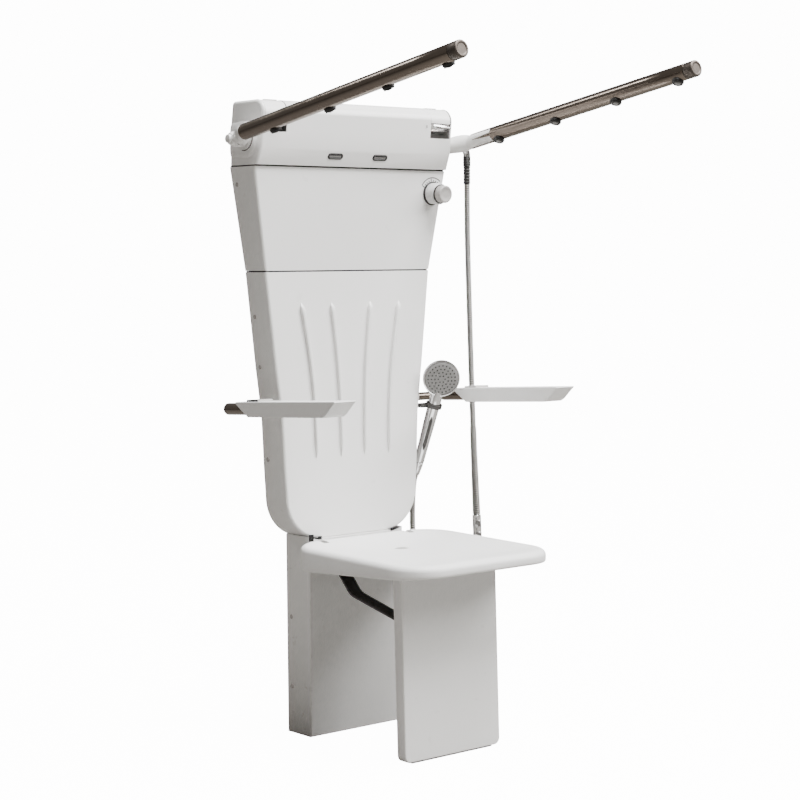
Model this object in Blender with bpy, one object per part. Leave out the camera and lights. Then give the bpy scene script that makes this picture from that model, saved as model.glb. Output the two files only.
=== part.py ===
"""Wall-mounted shower seat with folding seat, leg, armrests and spray arms.

Metres, +Z up. The origin is on the wall, at floor level, on the centre line.
+X is to the right when the seat is faced, and +Y goes into the wall.
"""

from math import atan2, cos, pi, radians, sin

import bmesh
import bpy
from mathutils import Matrix, Vector

# Driving dimensions

GAP = 0.0003                      # between pieces that touch
WALL_BACK = -0.0003               # rear edge of the covers, at the wall
SKIN = 0.003                      # wall of the moulded covers
SEAM = 0.003                      # shadow gap between two covers
COVER_EDGE = 0.006                # rounding of the covers' front edges

SEAT_TOP = 0.415                  # height of the seat above the floor

COLUMN_HALF = 0.128
COLUMN_DEPTH = 0.081
COLUMN_EDGE = 0.005

BACK_ABOVE_SEAT = 0.005
BACKREST_HEIGHT = 0.564
MIDDLE_HEIGHT = 0.216
HEAD_HEIGHT = 0.133
BACK_BOTTOM = SEAT_TOP + BACK_ABOVE_SEAT
BACK_CORNER = 0.090               # radius of the backrest's lower corners
BACK_FRONT_LOW = 0.0728           # how far the backrest stands from the wall at its foot
BACK_FRONT_HIGH = 0.0668          # and at the seam above it
BACK_HALF_LOW = 0.1775
BACK_HALF_MID = 0.1880
BACK_FLARE_FROM = 0.26            # above the backrest's foot, where its sides flare more
BACK_MID_HEIGHT = BACK_BOTTOM + BACK_FLARE_FROM
BACK_HALF_HIGH = 0.2222
LOWER_SEAM = BACK_BOTTOM + BACKREST_HEIGHT
UPPER_SEAM = LOWER_SEAM + MIDDLE_HEIGHT
MIDDLE_HALF_HIGH = 0.2580
MIDDLE_FRONT_HIGH = 0.082
SIDE_DRAFT = 0.003                # covers are this much wider at the wall, each side

HEAD_TOP = UPPER_SEAM + HEAD_HEIGHT
HEAD_HALF_TOP = 0.2545
HEAD_FRONT_LOW = 0.088
HEAD_FRONT_MID = 0.102
HEAD_FRONT_HIGH = 0.111
HEAD_SLOPE_HEIGHT = 0.036         # height of the head's lower slope
HEAD_MID_HEIGHT = UPPER_SEAM + HEAD_SLOPE_HEIGHT
HEAD_SHOULDER = 0.028             # radius over the head's top front edge
HEAD_EDGE = 0.008

RIB_BELOW_SEAM = 0.066
RIB_ABOVE_FOOT = 0.170
RIB_TOP = LOWER_SEAM - RIB_BELOW_SEAM
RIB_FOOT = BACK_BOTTOM + RIB_ABOVE_FOOT
RIB_TOPS = (0.053, 0.1325)        # distance from the centre line at the top
RIB_FEET = (0.0315, 0.0985)       # and at the foot
RIB_WIDTH_TOP = 0.0076
RIB_WIDTH_FOOT = 0.0036
RIB_RISE = 0.0022
RIB_BOW = 0.004

PLATE = 0.004                     # wall plate
PLATE_HALF = 0.113
PLATE_HEAD_HALF = 0.221
PLATE_SHOULDER = 0.075            # the plate widens this far below the upper seam
PLATE_BELOW_TOP = 0.021
PLATE_HEAD_FOOT = UPPER_SEAM - PLATE_SHOULDER
PLATE_TOP = HEAD_TOP - PLATE_BELOW_TOP
CHANNEL_HALF = 0.103
CHANNEL_WALL = 0.003

SEAT_HALF = 0.200
SEAT_REAR = -0.092
SEAT_FRONT = -0.503
SEAT_THICK_REAR = 0.049           # height of the seat's rim at its rear
SEAT_THICK_FRONT = 0.0245         # and at its front
SEAT_FOOT_REAR = SEAT_TOP - SEAT_THICK_REAR
SEAT_FOOT_FRONT = SEAT_TOP - SEAT_THICK_FRONT
SEAT_CORNER = 0.090
SEAT_REAR_RISE = 0.0065          # how much higher the rear edge is than the front one
SEAT_DISH = 0.007
SEAT_SKIN = 0.005
SEAT_BASE_DROP = 0.023            # from the seat's top to the base plate's underside
SEAT_BASE_FOOT = SEAT_TOP - SEAT_BASE_DROP
SEAT_BASE = 0.003
SEAT_RELIEF_HALF = 0.110          # the rear rim is cut short between the hinges
SEAT_RELIEF_DROP = 0.037
DRAIN_RADIUS = 0.015
DRAIN_Y = -0.230

SEAT_PIVOT_Y = -0.110
SEAT_PIVOT_DROP = 0.017
SEAT_PIVOT_Z = SEAT_TOP - SEAT_PIVOT_DROP
LUG_X = 0.118
LUG_WALL = 0.008
LUG_RADIUS = 0.0105
LEAF_WALL = 0.003
HINGE_PIN = 0.0045
PIN_PLAY = 0.0004                 # radial play of the pins in their holes
BRACKET_WALL = 0.003
BRACKET_HALF = 0.1265
BRACKET_HEIGHT = 0.0560
BRACKET_TOP_DROP = 0.0065         # from the seat's top to the bracket's upper edge
BRACKET_TOP = SEAT_TOP - BRACKET_TOP_DROP
BRACKET_FOOT = BRACKET_TOP - BRACKET_HEIGHT

LEG_PIVOT_Y = -0.368
LEG_PIVOT_DROP = 0.069            # from the seat's top to the leg's hinge
LEG_TOP_DROP = 0.0370             # and to the leg's upper edge
LEG_PIVOT_Z = SEAT_TOP - LEG_PIVOT_DROP
LEG_TOP = SEAT_TOP - LEG_TOP_DROP
LEG_FRONT_TOP = -0.3803
LEG_FRONT_FOOT = -0.391
LEG_THICK = 0.025
LEG_SKIN = 0.003
LEG_HALF = 0.128
LEG_FOOT_CORNER = 0.014
FOOT_PAD = 0.003
LEG_TUBE = 0.005                  # hinge rod of the leg
LEG_EAR_X = 0.062
LEG_EAR_WALL = 0.004

BRACE_X = 0.086
BRACE_WIDTH = 0.030
BRACE_THICK = 0.005
BRACE_REAR_DROP = 0.054           # from the seat's top to the pivot on the bracket
BRACE_BEND_DROP = 0.099
BRACE_FRONT_DROP = 0.1372         # and to the open pivot at the back of the leg
BRACE_REAR = (-0.140, SEAT_TOP - BRACE_REAR_DROP)
BRACE_BEND = (-0.184, SEAT_TOP - BRACE_BEND_DROP)
BRACE_FRONT = (-0.351, SEAT_TOP - BRACE_FRONT_DROP)
BRACE_EYE_REAR = 0.0070
BRACE_EYE_FRONT = 0.0060
BRACE_PIN = 0.0040
EAR_WALL = 0.003
EAR_PLAY = 0.0015

ARM_PIVOT_Y = -0.055
ARM_ABOVE_SEAM = 0.053
ARM_PIVOT_Z = UPPER_SEAM + ARM_ABOVE_SEAM
ARM_X = 0.3045
ARM_TILT = radians(9.5)
ARM_RADIUS = 0.0165
ARM_WALL = 0.0018
NECK_WIDE = 0.0190                # neck where it is widest
ARM_LENGTH = 0.7235               # from the pivot to the end of the cap
ARM_CAP = 0.024
ARM_SLEEVE_OUTER = 0.060          # where the tube starts on its outer half, from the pivot
ARM_SLEEVE_INNER = 0.137          # and on its inner half
SPRAY_FIRST = 0.1560              # first spray head, from the arm's pivot
SPRAY_PITCH = 0.1758              # from there to the second and third
SPRAY_LAST = 0.047                # fourth one, from the arm's tip
SPRAY_ANGLE = radians(68)         # below level, towards the sitter
SPRAY_RING = 0.0100
SPRAY_DOME = 0.0065
SPRAY_STAND = 0.0030
RAIL_RADIUS = 0.0060              # water rail inside a spray arm's tube
RAIL_BORE = 0.0040
HUB_DISC_RADIUS = 0.0305
HUB_DISC_WIDTH = 0.0060
HUB_RADIUS = 0.0165
HUB_END = 0.300                   # outer end of the hub, from the centre line
MANIFOLD = 0.0080
MANIFOLD_BORE = 0.0055
CLIP_X = 0.165                    # clips that hold the manifold, from the centre line
CLIP_WIDTH = 0.012
CLIP_HEIGHT = 0.024
CLIP_PLATE = 0.003

ARMREST_X = 0.2935
ARMREST_WIDTH = 0.053
ARMREST_PIVOT_Y = -0.035
ARMREST_ABOVE_SEAT = 0.2885
ARMREST_PIVOT_Z = SEAT_TOP + ARMREST_ABOVE_SEAT
ARMREST_TILT = radians(3.0)
ARMREST_BAR = 0.0125
ARMREST_BAR_REAR = 0.010          # how far the bar runs behind the pivot
ARMREST_BAR_FRONT = 0.270
PAD_REAR_TOP = 0.058              # distances along the armrest from its pivot
PAD_REAR_FOOT = 0.098
PAD_TIP_TOP = 0.385
PAD_TIP_FOOT = 0.344
PAD_RISE = 0.0155                 # pad top above the bar's axis
PAD_THICK = 0.031
PAD_EDGE = 0.005
ARMREST_SHAFT = 0.009
BOSS_RADIUS = 0.016
BOSS_WIDTH = 0.011
BUMPER_FROM = 0.086
BUMPER_TO = 0.126
BUMPER_RISE = 0.0040

DIAL_X = 0.2215
DIAL_BELOW_SEAM = 0.050
DIAL_Z = UPPER_SEAM - DIAL_BELOW_SEAM
DIAL_RADIUS = 0.023
DIAL_LENGTH = 0.025
CAP_RADIUS = 0.0190
CAP_LENGTH = 0.0165
DIAL_SPLIT = 0.0024
SPINDLE = 0.0060
MIXER_RADIUS = 0.018
MIXER_Y = -0.035
UNION_SPACING = 0.150

RINSE_X = 0.060
RINSE_ABOVE_SEAM = 0.022
RINSE_Z = UPPER_SEAM + RINSE_ABOVE_SEAM
RINSE_LENGTH = 0.040
RINSE_HEIGHT = 0.0135
RINSE_FRAME = 0.0030
SHOULDER_FROM = 0.193
SHOULDER_TO = 0.249
SHOULDER_POCKET = 0.071           # height of the pockets in the head's corners
SHOULDER_FOOT = HEAD_TOP - SHOULDER_POCKET
SHOULDER_RADIUS = 0.0270
SHOULDER_PLAY = 0.0015
TAB_REACH = 0.009

HANDSET_ABOVE_SEAT = 0.332        # middle of the spray face
HANDLE_ABOVE_SEAT = 0.143         # foot of the handle
HANDSET_TOP = (0.2254, -0.100, SEAT_TOP + HANDSET_ABOVE_SEAT)
HANDSET_FOOT = (0.2155, -0.035, SEAT_TOP + HANDLE_ABOVE_SEAT)
HANDSET_FACING = (-0.528, -0.822, -0.208)
HANDSET_RADIUS = 0.041
HANDSET_DEPTH = 0.020
FACE_RADIUS = 0.0365
HANDLE_TOP = 0.0140
HANDLE_FOOT = 0.0112
NUT_LENGTH = 0.030
NUT_RADIUS = 0.0105
HOLDER_AT = 0.70                  # share of the handle's height
HOLDER_WALL = 0.0030
HOLDER_PLAY = 0.0012
HOLDER_HEIGHT = 0.018

HOSE_RADIUS = 0.0070
HOSE_BORE = 0.0042
HOSE_RIBS = 110
HOSE_RIB_DEPTH = 0.0009
OUTLET_X = 0.345
OUTLET_DROP = 0.040               # from the arms' pivot to the hose outlet
OUTLET_FOOT = ARM_PIVOT_Z - OUTLET_DROP
FERRULE_FROM = 0.382
FERRULE_TO = 0.432
FERRULE_RADIUS = 0.0098

ROUND = 20                        # sides of a plain round piece
SMALL_ROUND = 12
FEW = 8                           # sides of the smallest round pieces

WHITE = ((0.86, 0.86, 0.85), 0.32, 0.0)
WHITE_SEAT = ((0.88, 0.88, 0.87), 0.45, 0.0)
BRONZE = ((0.36, 0.31, 0.27), 0.30, 1.0)
BRONZE_CAP = ((0.50, 0.46, 0.42), 0.30, 0.8)
BLACK = ((0.03, 0.03, 0.03), 0.45, 0.0)
BLACK_STEEL = ((0.05, 0.045, 0.045), 0.5, 0.4)
CHROME = ((0.80, 0.80, 0.81), 0.10, 1.0)
STEEL = ((0.62, 0.62, 0.62), 0.35, 1.0)
BRASS = ((0.70, 0.55, 0.28), 0.35, 1.0)
GREY = ((0.62, 0.61, 0.59), 0.35, 0.0)
DARK_GREY = ((0.25, 0.25, 0.25), 0.45, 0.0)
RUBBER = ((0.06, 0.06, 0.06), 0.9, 0.0)

# Building blocks


def finish(name, look):
    """Return the material of one piece."""
    colour, roughness, metallic = look
    material = bpy.data.materials.new(name)
    material.use_nodes = True
    shader = material.node_tree.nodes["Principled BSDF"]
    shader.inputs["Base Color"].default_value = (*colour, 1.0)
    shader.inputs["Roughness"].default_value = roughness
    shader.inputs["Metallic"].default_value = metallic
    return material


def place(name, body, look, origin=(0.0, 0.0, 0.0)):
    """Make the named piece from a bmesh in world metres, with its origin on its pivot."""
    bmesh.ops.recalc_face_normals(body, faces=body.faces)
    bmesh.ops.translate(body, vec=-Vector(origin), verts=body.verts)
    mesh = bpy.data.meshes.new(name)
    body.to_mesh(mesh)
    body.free()
    mesh.materials.append(finish(name, look))
    mesh.shade_smooth()
    mesh.set_sharp_from_angle(angle=radians(35))
    piece = bpy.data.objects.new(name, mesh)
    piece.location = origin
    bpy.context.scene.collection.objects.link(piece)
    return piece


def shape(piece, name, other, operation):
    """Cut or add another closed body on a piece with a Boolean modifier."""
    bmesh.ops.recalc_face_normals(other, faces=other.faces)
    mesh = bpy.data.meshes.new(name)
    other.to_mesh(mesh)
    other.free()
    tool = bpy.data.objects.new(name, mesh)
    tool.hide_render = True
    tool.display_type = "WIRE"
    bpy.context.scene.collection.objects.link(tool)
    modifier = piece.modifiers.new(name, "BOOLEAN")
    modifier.operation = operation
    modifier.solver = "EXACT"
    modifier.object = tool


def cut(piece, name, other):
    shape(piece, name, other, "DIFFERENCE")


def add(piece, name, other):
    shape(piece, name, other, "UNION")


def together(bodies):
    """Put several closed bodies in one bmesh."""
    whole = bmesh.new()
    for body in bodies:
        mesh = bpy.data.meshes.new("joined")
        body.to_mesh(mesh)
        body.free()
        whole.from_mesh(mesh)
        bpy.data.meshes.remove(mesh)
    return whole


def mirrored(body):
    """Return a copy of a body on the other side of the centre line."""
    twin = body.copy()
    bmesh.ops.scale(twin, vec=(-1, 1, 1), verts=twin.verts)
    bmesh.ops.reverse_faces(twin, faces=twin.faces)
    return twin


def pair(body):
    """Return a body and its mirror twin in one bmesh."""
    return together([mirrored(body), body])


def skin_rings(rings, closed_profile=False):
    """Bridge rings of equal length; cap both ends unless the rings close on themselves."""
    body = bmesh.new()
    rows = [[body.verts.new(point) for point in ring] for ring in rings]
    count = len(rows[0])
    last = len(rows) if closed_profile else len(rows) - 1
    for index in range(last):
        here = rows[index]
        there = rows[(index + 1) % len(rows)]
        for k in range(count):
            after = (k + 1) % count
            body.faces.new((here[k], here[after], there[after], there[k]))
    if not closed_profile:
        body.faces.new(rows[0])
        body.faces.new(rows[-1])
    bmesh.ops.recalc_face_normals(body, faces=body.faces)
    return body


def prism(outline, axis, low, high):
    """Extrude an outline along an axis; its points are the two other coordinates in order."""
    def at(point, value):
        first, second = point
        if axis == "x":
            return (value, first, second)
        if axis == "y":
            return (first, value, second)
        return (first, second, value)
    rings = [[at(point, value) for point in outline] for value in (low, high)]
    return skin_rings(rings)


def box(low, high):
    """Make a plain block between two corners."""
    outline = [(low[0], low[1]), (high[0], low[1]), (high[0], high[1]), (low[0], high[1])]
    return prism(outline, "z", low[2], high[2])


def across(direction):
    """Return two unit vectors square to a direction and to each other."""
    direction = Vector(direction).normalized()
    helper = Vector((0, 0, 1)) if abs(direction.z) < 0.9 else Vector((0, 1, 0))
    first = direction.cross(helper).normalized()
    return first, direction.cross(first).normalized()


def circle(centre, direction, radius, sides):
    """Return points around a centre, in the plane square to a direction."""
    first, second = across(direction)
    centre = Vector(centre)
    turns = [2 * pi * k / sides for k in range(sides)]
    return [centre + radius * (cos(turn) * first + sin(turn) * second) for turn in turns]


def turned(profile, foot, direction, sides=ROUND, hollow=False):
    """Turn a profile of (distance along, radius) pairs about an axis from its foot."""
    direction = Vector(direction).normalized()
    foot = Vector(foot)
    rings = [circle(foot + along * direction, direction, radius, sides)
             for along, radius in profile]
    return skin_rings(rings, closed_profile=hollow)


def rod(start, end, radius, sides=ROUND):
    """Make a plain round bar between two points."""
    start = Vector(start)
    line = Vector(end) - start
    return turned([(0, radius), (line.length, radius)], start, line, sides)


def sleeve(start, end, outer, inner, sides=ROUND):
    """Make a plain tube between two points."""
    start = Vector(start)
    line = Vector(end) - start
    profile = [(0, inner), (0, outer), (line.length, outer), (line.length, inner)]
    return turned(profile, start, line, sides, hollow=True)


def rounded(half_x, half_y, radius, steps, centre=(0.0, 0.0)):
    """Return a rounded rectangle, each corner an arc of a number of steps."""
    points = []
    corners = ((1, 1, 0), (-1, 1, 90), (-1, -1, 180), (1, -1, 270))
    for side_x, side_y, start in corners:
        for k in range(steps + 1):
            turn = radians(start + 90 * k / steps)
            points.append((centre[0] + side_x * (half_x - radius) + radius * cos(turn),
                           centre[1] + side_y * (half_y - radius) + radius * sin(turn)))
    return points


def around(pivot, radius, start, end, steps):
    """Return points of an arc about a pivot, with the angles in degrees."""
    turns = [radians(start + (end - start) * k / steps) for k in range(steps + 1)]
    return [(pivot[0] + radius * cos(turn), pivot[1] + radius * sin(turn)) for turn in turns]


def on_line(value, low, high):
    """Read a straight line between two (position, result) pairs."""
    share = (value - low[0]) / (high[0] - low[0])
    return low[1] + share * (high[1] - low[1])


# Covers


def cover(name, front, back, open_edges, edge, skin=SKIN, look=WHITE):
    """Make an open-backed shell: a front face, side walls along its edges, and a skin."""
    body = bmesh.new()
    near = [body.verts.new(point) for point in front]
    far = [body.verts.new(point) for point in back]
    body.faces.new(near)
    count = len(near)
    weights = body.edges.layers.float.new("bevel_weight_edge")
    for k in range(count):
        after = (k + 1) % count
        if k in open_edges:
            continue
        body.faces.new((near[k], far[k], far[after], near[after]))
        body.edges.get((near[k], near[after]))[weights] = 1.0
    unused = [vert for vert in body.verts if not vert.link_faces]
    bmesh.ops.delete(body, geom=unused, context="VERTS")
    body.normal_update()
    towards_room = sum((face.normal.y * face.calc_area() for face in body.faces), 0.0)
    if towards_room > 0:
        bmesh.ops.reverse_faces(body, faces=body.faces)
    mesh = bpy.data.meshes.new(name)
    body.to_mesh(mesh)
    body.free()
    mesh.materials.append(finish(name, look))
    mesh.shade_smooth()
    mesh.set_sharp_from_angle(angle=radians(35))
    piece = bpy.data.objects.new(name, mesh)
    bpy.context.scene.collection.objects.link(piece)
    bevel = piece.modifiers.new("edge", "BEVEL")
    bevel.limit_method = "WEIGHT"
    bevel.width = edge
    bevel.segments = 2
    wall = piece.modifiers.new("skin", "SOLIDIFY")
    wall.thickness = skin
    wall.offset = -1
    wall.use_even_offset = True
    return piece


def back_half(z):
    """Half the backrest's width along its front edge, at a height."""
    foot = (BACK_BOTTOM + BACK_CORNER, BACK_HALF_LOW)
    middle = (BACK_MID_HEIGHT, BACK_HALF_MID)
    top = (LOWER_SEAM, BACK_HALF_HIGH)
    if z < middle[0]:
        return on_line(z, foot, middle)
    return on_line(z, middle, top)


def middle_half(z):
    """Half the middle cover's width along its front edge, at a height."""
    return on_line(z, (LOWER_SEAM, BACK_HALF_HIGH), (UPPER_SEAM, MIDDLE_HALF_HIGH))


def back_front(z):
    """The backrest's front plane, as a y value at a height."""
    return -on_line(z, (BACK_BOTTOM, BACK_FRONT_LOW), (LOWER_SEAM, BACK_FRONT_HIGH))


def middle_front(z):
    return -on_line(z, (LOWER_SEAM, BACK_FRONT_HIGH), (UPPER_SEAM, MIDDLE_FRONT_HIGH))


def back_side(z, y):
    """The outer side of the backrest or middle cover at a height and depth."""
    half = back_half(z) if z < LOWER_SEAM else middle_half(z)
    front = back_front(z) if z < LOWER_SEAM else middle_front(z)
    return half + SIDE_DRAFT * (1 - y / front)


def back_foot(x, extra=0.0):
    """The backrest's lower edge, as a height at a distance from the centre line."""
    half = BACK_HALF_LOW + extra
    start = half - BACK_CORNER
    if abs(x) <= start:
        return BACK_BOTTOM
    return BACK_BOTTOM + BACK_CORNER - (BACK_CORNER ** 2 - (abs(x) - start) ** 2) ** 0.5


def backrest_outline(extra):
    """Outline of the backrest from its top left corner down and round to the top right."""
    top = LOWER_SEAM - SEAM / 2
    centre = (BACK_HALF_LOW + extra - BACK_CORNER, BACK_BOTTOM + BACK_CORNER)
    half = [(BACK_HALF_LOW + extra, centre[1])]
    half.append((BACK_HALF_MID + extra, BACK_MID_HEIGHT))
    half.append((back_half(top) + extra, top))
    corner = around(centre, BACK_CORNER, -90, 0, 9)
    right = corner[:-1] + half
    left = [(-x, z) for x, z in reversed(right)]
    return left + right


def build_covers():
    """The four white covers."""
    corner_x = COLUMN_HALF
    steps = 8
    across_top = [corner_x - 2 * corner_x * k / steps for k in range(steps + 1)]
    column = [(-corner_x, 0.0), (corner_x, 0.0)]
    column += [(x, back_foot(x, SIDE_DRAFT) - SEAM / 2) for x in across_top]
    top_edges = set(range(2, 2 + steps))
    front = [(x, -COLUMN_DEPTH, z) for x, z in column]
    back = [(x, WALL_BACK, z) for x, z in column]
    cover("column_cover", front, back, top_edges, COLUMN_EDGE)

    outline = backrest_outline(0.0)
    wide = backrest_outline(SIDE_DRAFT)
    front = [(x, back_front(z), z) for x, z in outline]
    back = [(x, WALL_BACK, z) for x, z in wide]
    backrest = cover("backrest_cover", front, back, {len(front) - 1}, COVER_EDGE)
    for side in (-1, 1):
        for top, foot in zip(RIB_TOPS, RIB_FEET):
            add(backrest, f"rib_{'left' if side < 0 else 'right'}_{top * 1000:.0f}",
                rib(side * top, side * foot))
    notch = box((-PLATE_HALF - GAP * 2, -PLATE - 4 * GAP, BACK_BOTTOM - 0.01),
                (PLATE_HALF + GAP * 2, 0.01, BACK_BOTTOM + 0.01))
    cut(backrest, "plate_notch", notch)
    wall = back_side(ARMREST_PIVOT_Z + BOSS_RADIUS, ARMREST_PIVOT_Y + BOSS_RADIUS)
    boss = turned([(-0.002, BOSS_RADIUS), (BOSS_WIDTH - 0.002, BOSS_RADIUS),
                   (BOSS_WIDTH, BOSS_RADIUS - 0.002)],
                  (wall, ARMREST_PIVOT_Y, ARMREST_PIVOT_Z), (1, 0, 0))
    add(backrest, "armrest_bosses", pair(boss))
    for side, name in ((-1, "left"), (1, "right")):
        hole = rod((side * (BACK_HALF_LOW - 0.02), ARMREST_PIVOT_Y, ARMREST_PIVOT_Z),
                   (side * (BACK_HALF_HIGH + 0.02), ARMREST_PIVOT_Y, ARMREST_PIVOT_Z),
                   ARMREST_SHAFT + 2 * PIN_PLAY)
        cut(backrest, f"shaft_hole_{name}", hole)

    low = LOWER_SEAM + SEAM / 2
    high = UPPER_SEAM - SEAM / 2
    middle = [(-middle_half(low), low), (middle_half(low), low),
              (middle_half(high), high), (-middle_half(high), high)]
    front = [(x, middle_front(z), z) for x, z in middle]
    back = [(x + SIDE_DRAFT * (1 if x > 0 else -1), WALL_BACK, z) for x, z in middle]
    panel = cover("middle_cover", front, back, {0, 2}, COVER_EDGE)
    face = middle_front(DIAL_Z)
    cut(panel, "dial_hole", rod((DIAL_X, face - 0.02, DIAL_Z), (DIAL_X, face + 0.02, DIAL_Z),
                                CAP_RADIUS * 0.8))
    build_head()


def rib(top_x, foot_x):
    """One raised rib, tapering to its foot and slightly bowed, sunk a little in the face."""
    steps = 6
    left = []
    right = []
    for k in range(steps + 1):
        share = k / steps
        z = RIB_FOOT + share * (RIB_TOP - RIB_FOOT)
        bow = RIB_BOW * sin(pi * share) * (-1 if top_x > 0 else 1)
        x = foot_x + share * (top_x - foot_x) + bow
        half = (RIB_WIDTH_FOOT + share * (RIB_WIDTH_TOP - RIB_WIDTH_FOOT)) / 2
        left.append((x - half, z))
        right.append((x + half, z))
    outline = left + right[::-1]
    sunk = 0.001
    rings = []
    for depth, inset in ((sunk, 0.0), (-RIB_RISE * 0.4, 0.0), (-RIB_RISE, 0.35)):
        ring = []
        for index, (x, z) in enumerate(outline):
            twin = outline[len(outline) - 1 - index]
            ring.append((x + (twin[0] - x) * inset, back_front(z) + depth, z))
        rings.append(ring)
    return skin_rings(rings)


def head_half(z):
    foot = (UPPER_SEAM, MIDDLE_HALF_HIGH)
    return on_line(z, foot, (HEAD_TOP, HEAD_HALF_TOP))


def head_profile():
    """Side view of the head, from its lower front edge up and over to the wall."""
    foot = UPPER_SEAM + SEAM / 2
    centre = (-HEAD_FRONT_HIGH + HEAD_SHOULDER, HEAD_TOP - HEAD_SHOULDER)
    points = [(-HEAD_FRONT_LOW, foot), (-HEAD_FRONT_MID, HEAD_MID_HEIGHT)]
    points += around(centre, HEAD_SHOULDER, 180, 90, 5)
    points.append((WALL_BACK, HEAD_TOP))
    return points


def head_face(z):
    """The head's lower front slope, as a y value at a height."""
    foot = (UPPER_SEAM + SEAM / 2, -HEAD_FRONT_LOW)
    return on_line(z, foot, (HEAD_MID_HEIGHT, -HEAD_FRONT_MID))


def shoulder_centre():
    return (-HEAD_FRONT_HIGH + HEAD_SHOULDER, HEAD_TOP - HEAD_SHOULDER)


def build_head():
    """The head cover: its side view drawn across the width, open at the back and foot."""
    profile = head_profile()
    body = bmesh.new()
    rows = [[body.verts.new((side * head_half(z), y, z)) for y, z in profile]
            for side in (-1, 1)]
    foot_back = [body.verts.new((side * head_half(profile[0][1]), WALL_BACK, profile[0][1]))
                 for side in (-1, 1)]
    weights = body.edges.layers.float.new("bevel_weight_edge")
    for k in range(len(profile) - 1):
        body.faces.new((rows[0][k], rows[0][k + 1], rows[1][k + 1], rows[1][k]))
    for row, corner in zip(rows, foot_back):
        body.faces.new(row + [corner])
        for k in range(len(profile) - 1):
            body.edges.get((row[k], row[k + 1]))[weights] = 1.0
    bmesh.ops.recalc_face_normals(body, faces=body.faces)
    body.normal_update()
    if sum((face.normal.z * face.calc_area() for face in body.faces), 0.0) < 0:
        bmesh.ops.reverse_faces(body, faces=body.faces)
    mesh = bpy.data.meshes.new("head_cover")
    body.to_mesh(mesh)
    body.free()
    mesh.materials.append(finish("head_cover", WHITE))
    mesh.shade_smooth()
    mesh.set_sharp_from_angle(angle=radians(35))
    head = bpy.data.objects.new("head_cover", mesh)
    bpy.context.scene.collection.objects.link(head)
    bevel = head.modifiers.new("edge", "BEVEL")
    bevel.limit_method = "WEIGHT"
    bevel.width = HEAD_EDGE
    bevel.segments = 2
    wall = head.modifiers.new("skin", "SOLIDIFY")
    wall.thickness = SKIN
    wall.offset = -1
    wall.use_even_offset = True
    foot = head_half(ARM_PIVOT_Z + HUB_DISC_RADIUS) - SKIN * 0.6
    width = disc_face() - foot
    disc = turned([(0, HUB_DISC_RADIUS), (width - 0.002, HUB_DISC_RADIUS),
                   (width, HUB_DISC_RADIUS - 0.002)], (foot, ARM_PIVOT_Y, ARM_PIVOT_Z), (1, 0, 0))
    add(head, "hub_discs", pair(disc))
    centre = shoulder_centre()
    for side, name in ((-1, "left"), (1, "right")):
        pocket = box((SHOULDER_FROM, centre[0] - 2 * HEAD_SHOULDER, SHOULDER_FOOT),
                     (SHOULDER_TO, centre[0] + SHOULDER_RADIUS * 0.6, HEAD_TOP + 0.02))
        cut(head, f"pocket_{name}", mirrored(pocket) if side < 0 else pocket)
        opening = rinse_outline(side, RINSE_LENGTH / 2 + GAP, RINSE_HEIGHT / 2 + GAP)
        cut(head, f"rinse_hole_{name}", rinse_prism(opening, -0.02, 0.02))
        bore = rod((side * (foot - 0.02), ARM_PIVOT_Y, ARM_PIVOT_Z),
                   (side * (disc_face() + 0.02), ARM_PIVOT_Y, ARM_PIVOT_Z),
                   MANIFOLD + PIN_PLAY)
        cut(head, f"manifold_hole_{name}", bore)


def rinse_outline(side, half_length, half_height):
    """An oval in the plane of the head's lower slope, about one rinse outlet."""
    slope = atan2(HEAD_FRONT_MID - HEAD_FRONT_LOW, HEAD_MID_HEIGHT - UPPER_SEAM - SEAM / 2)
    up = Vector((0, -sin(slope), cos(slope)))
    centre = Vector((side * RINSE_X, head_face(RINSE_Z), RINSE_Z))
    flat = half_length - half_height
    points = []
    for middle, start in ((flat, -90), (-flat, 90)):
        points += around((middle, 0.0), half_height, start, start + 180, 6)
    return [centre + Vector((1, 0, 0)) * a + up * b for a, b in points]


def rinse_prism(outline, low, high):
    """Extrude a rinse outlet's oval along the slope's normal, out of the head."""
    slope = atan2(HEAD_FRONT_MID - HEAD_FRONT_LOW, HEAD_MID_HEIGHT - UPPER_SEAM - SEAM / 2)
    out = Vector((0, -cos(slope), -sin(slope)))
    return skin_rings([[point + out * value for point in outline] for value in (low, high)])


def build_rinse_outlets():
    """The two oval rinse outlets in the head's lower slope, each with a sunken insert."""
    for side, name in ((-1, "left"), (1, "right")):
        outer = rinse_outline(side, RINSE_LENGTH / 2, RINSE_HEIGHT / 2)
        inner = rinse_outline(side, RINSE_LENGTH / 2 - RINSE_FRAME,
                              RINSE_HEIGHT / 2 - RINSE_FRAME)
        bezel = place(f"rinse_outlet_{name}", rinse_prism(outer, -0.006, 0.0015), BLACK)
        cut(bezel, f"rinse_sink_{name}", rinse_prism(inner, -0.0008, 0.01))


# Frame and plumbing


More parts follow.
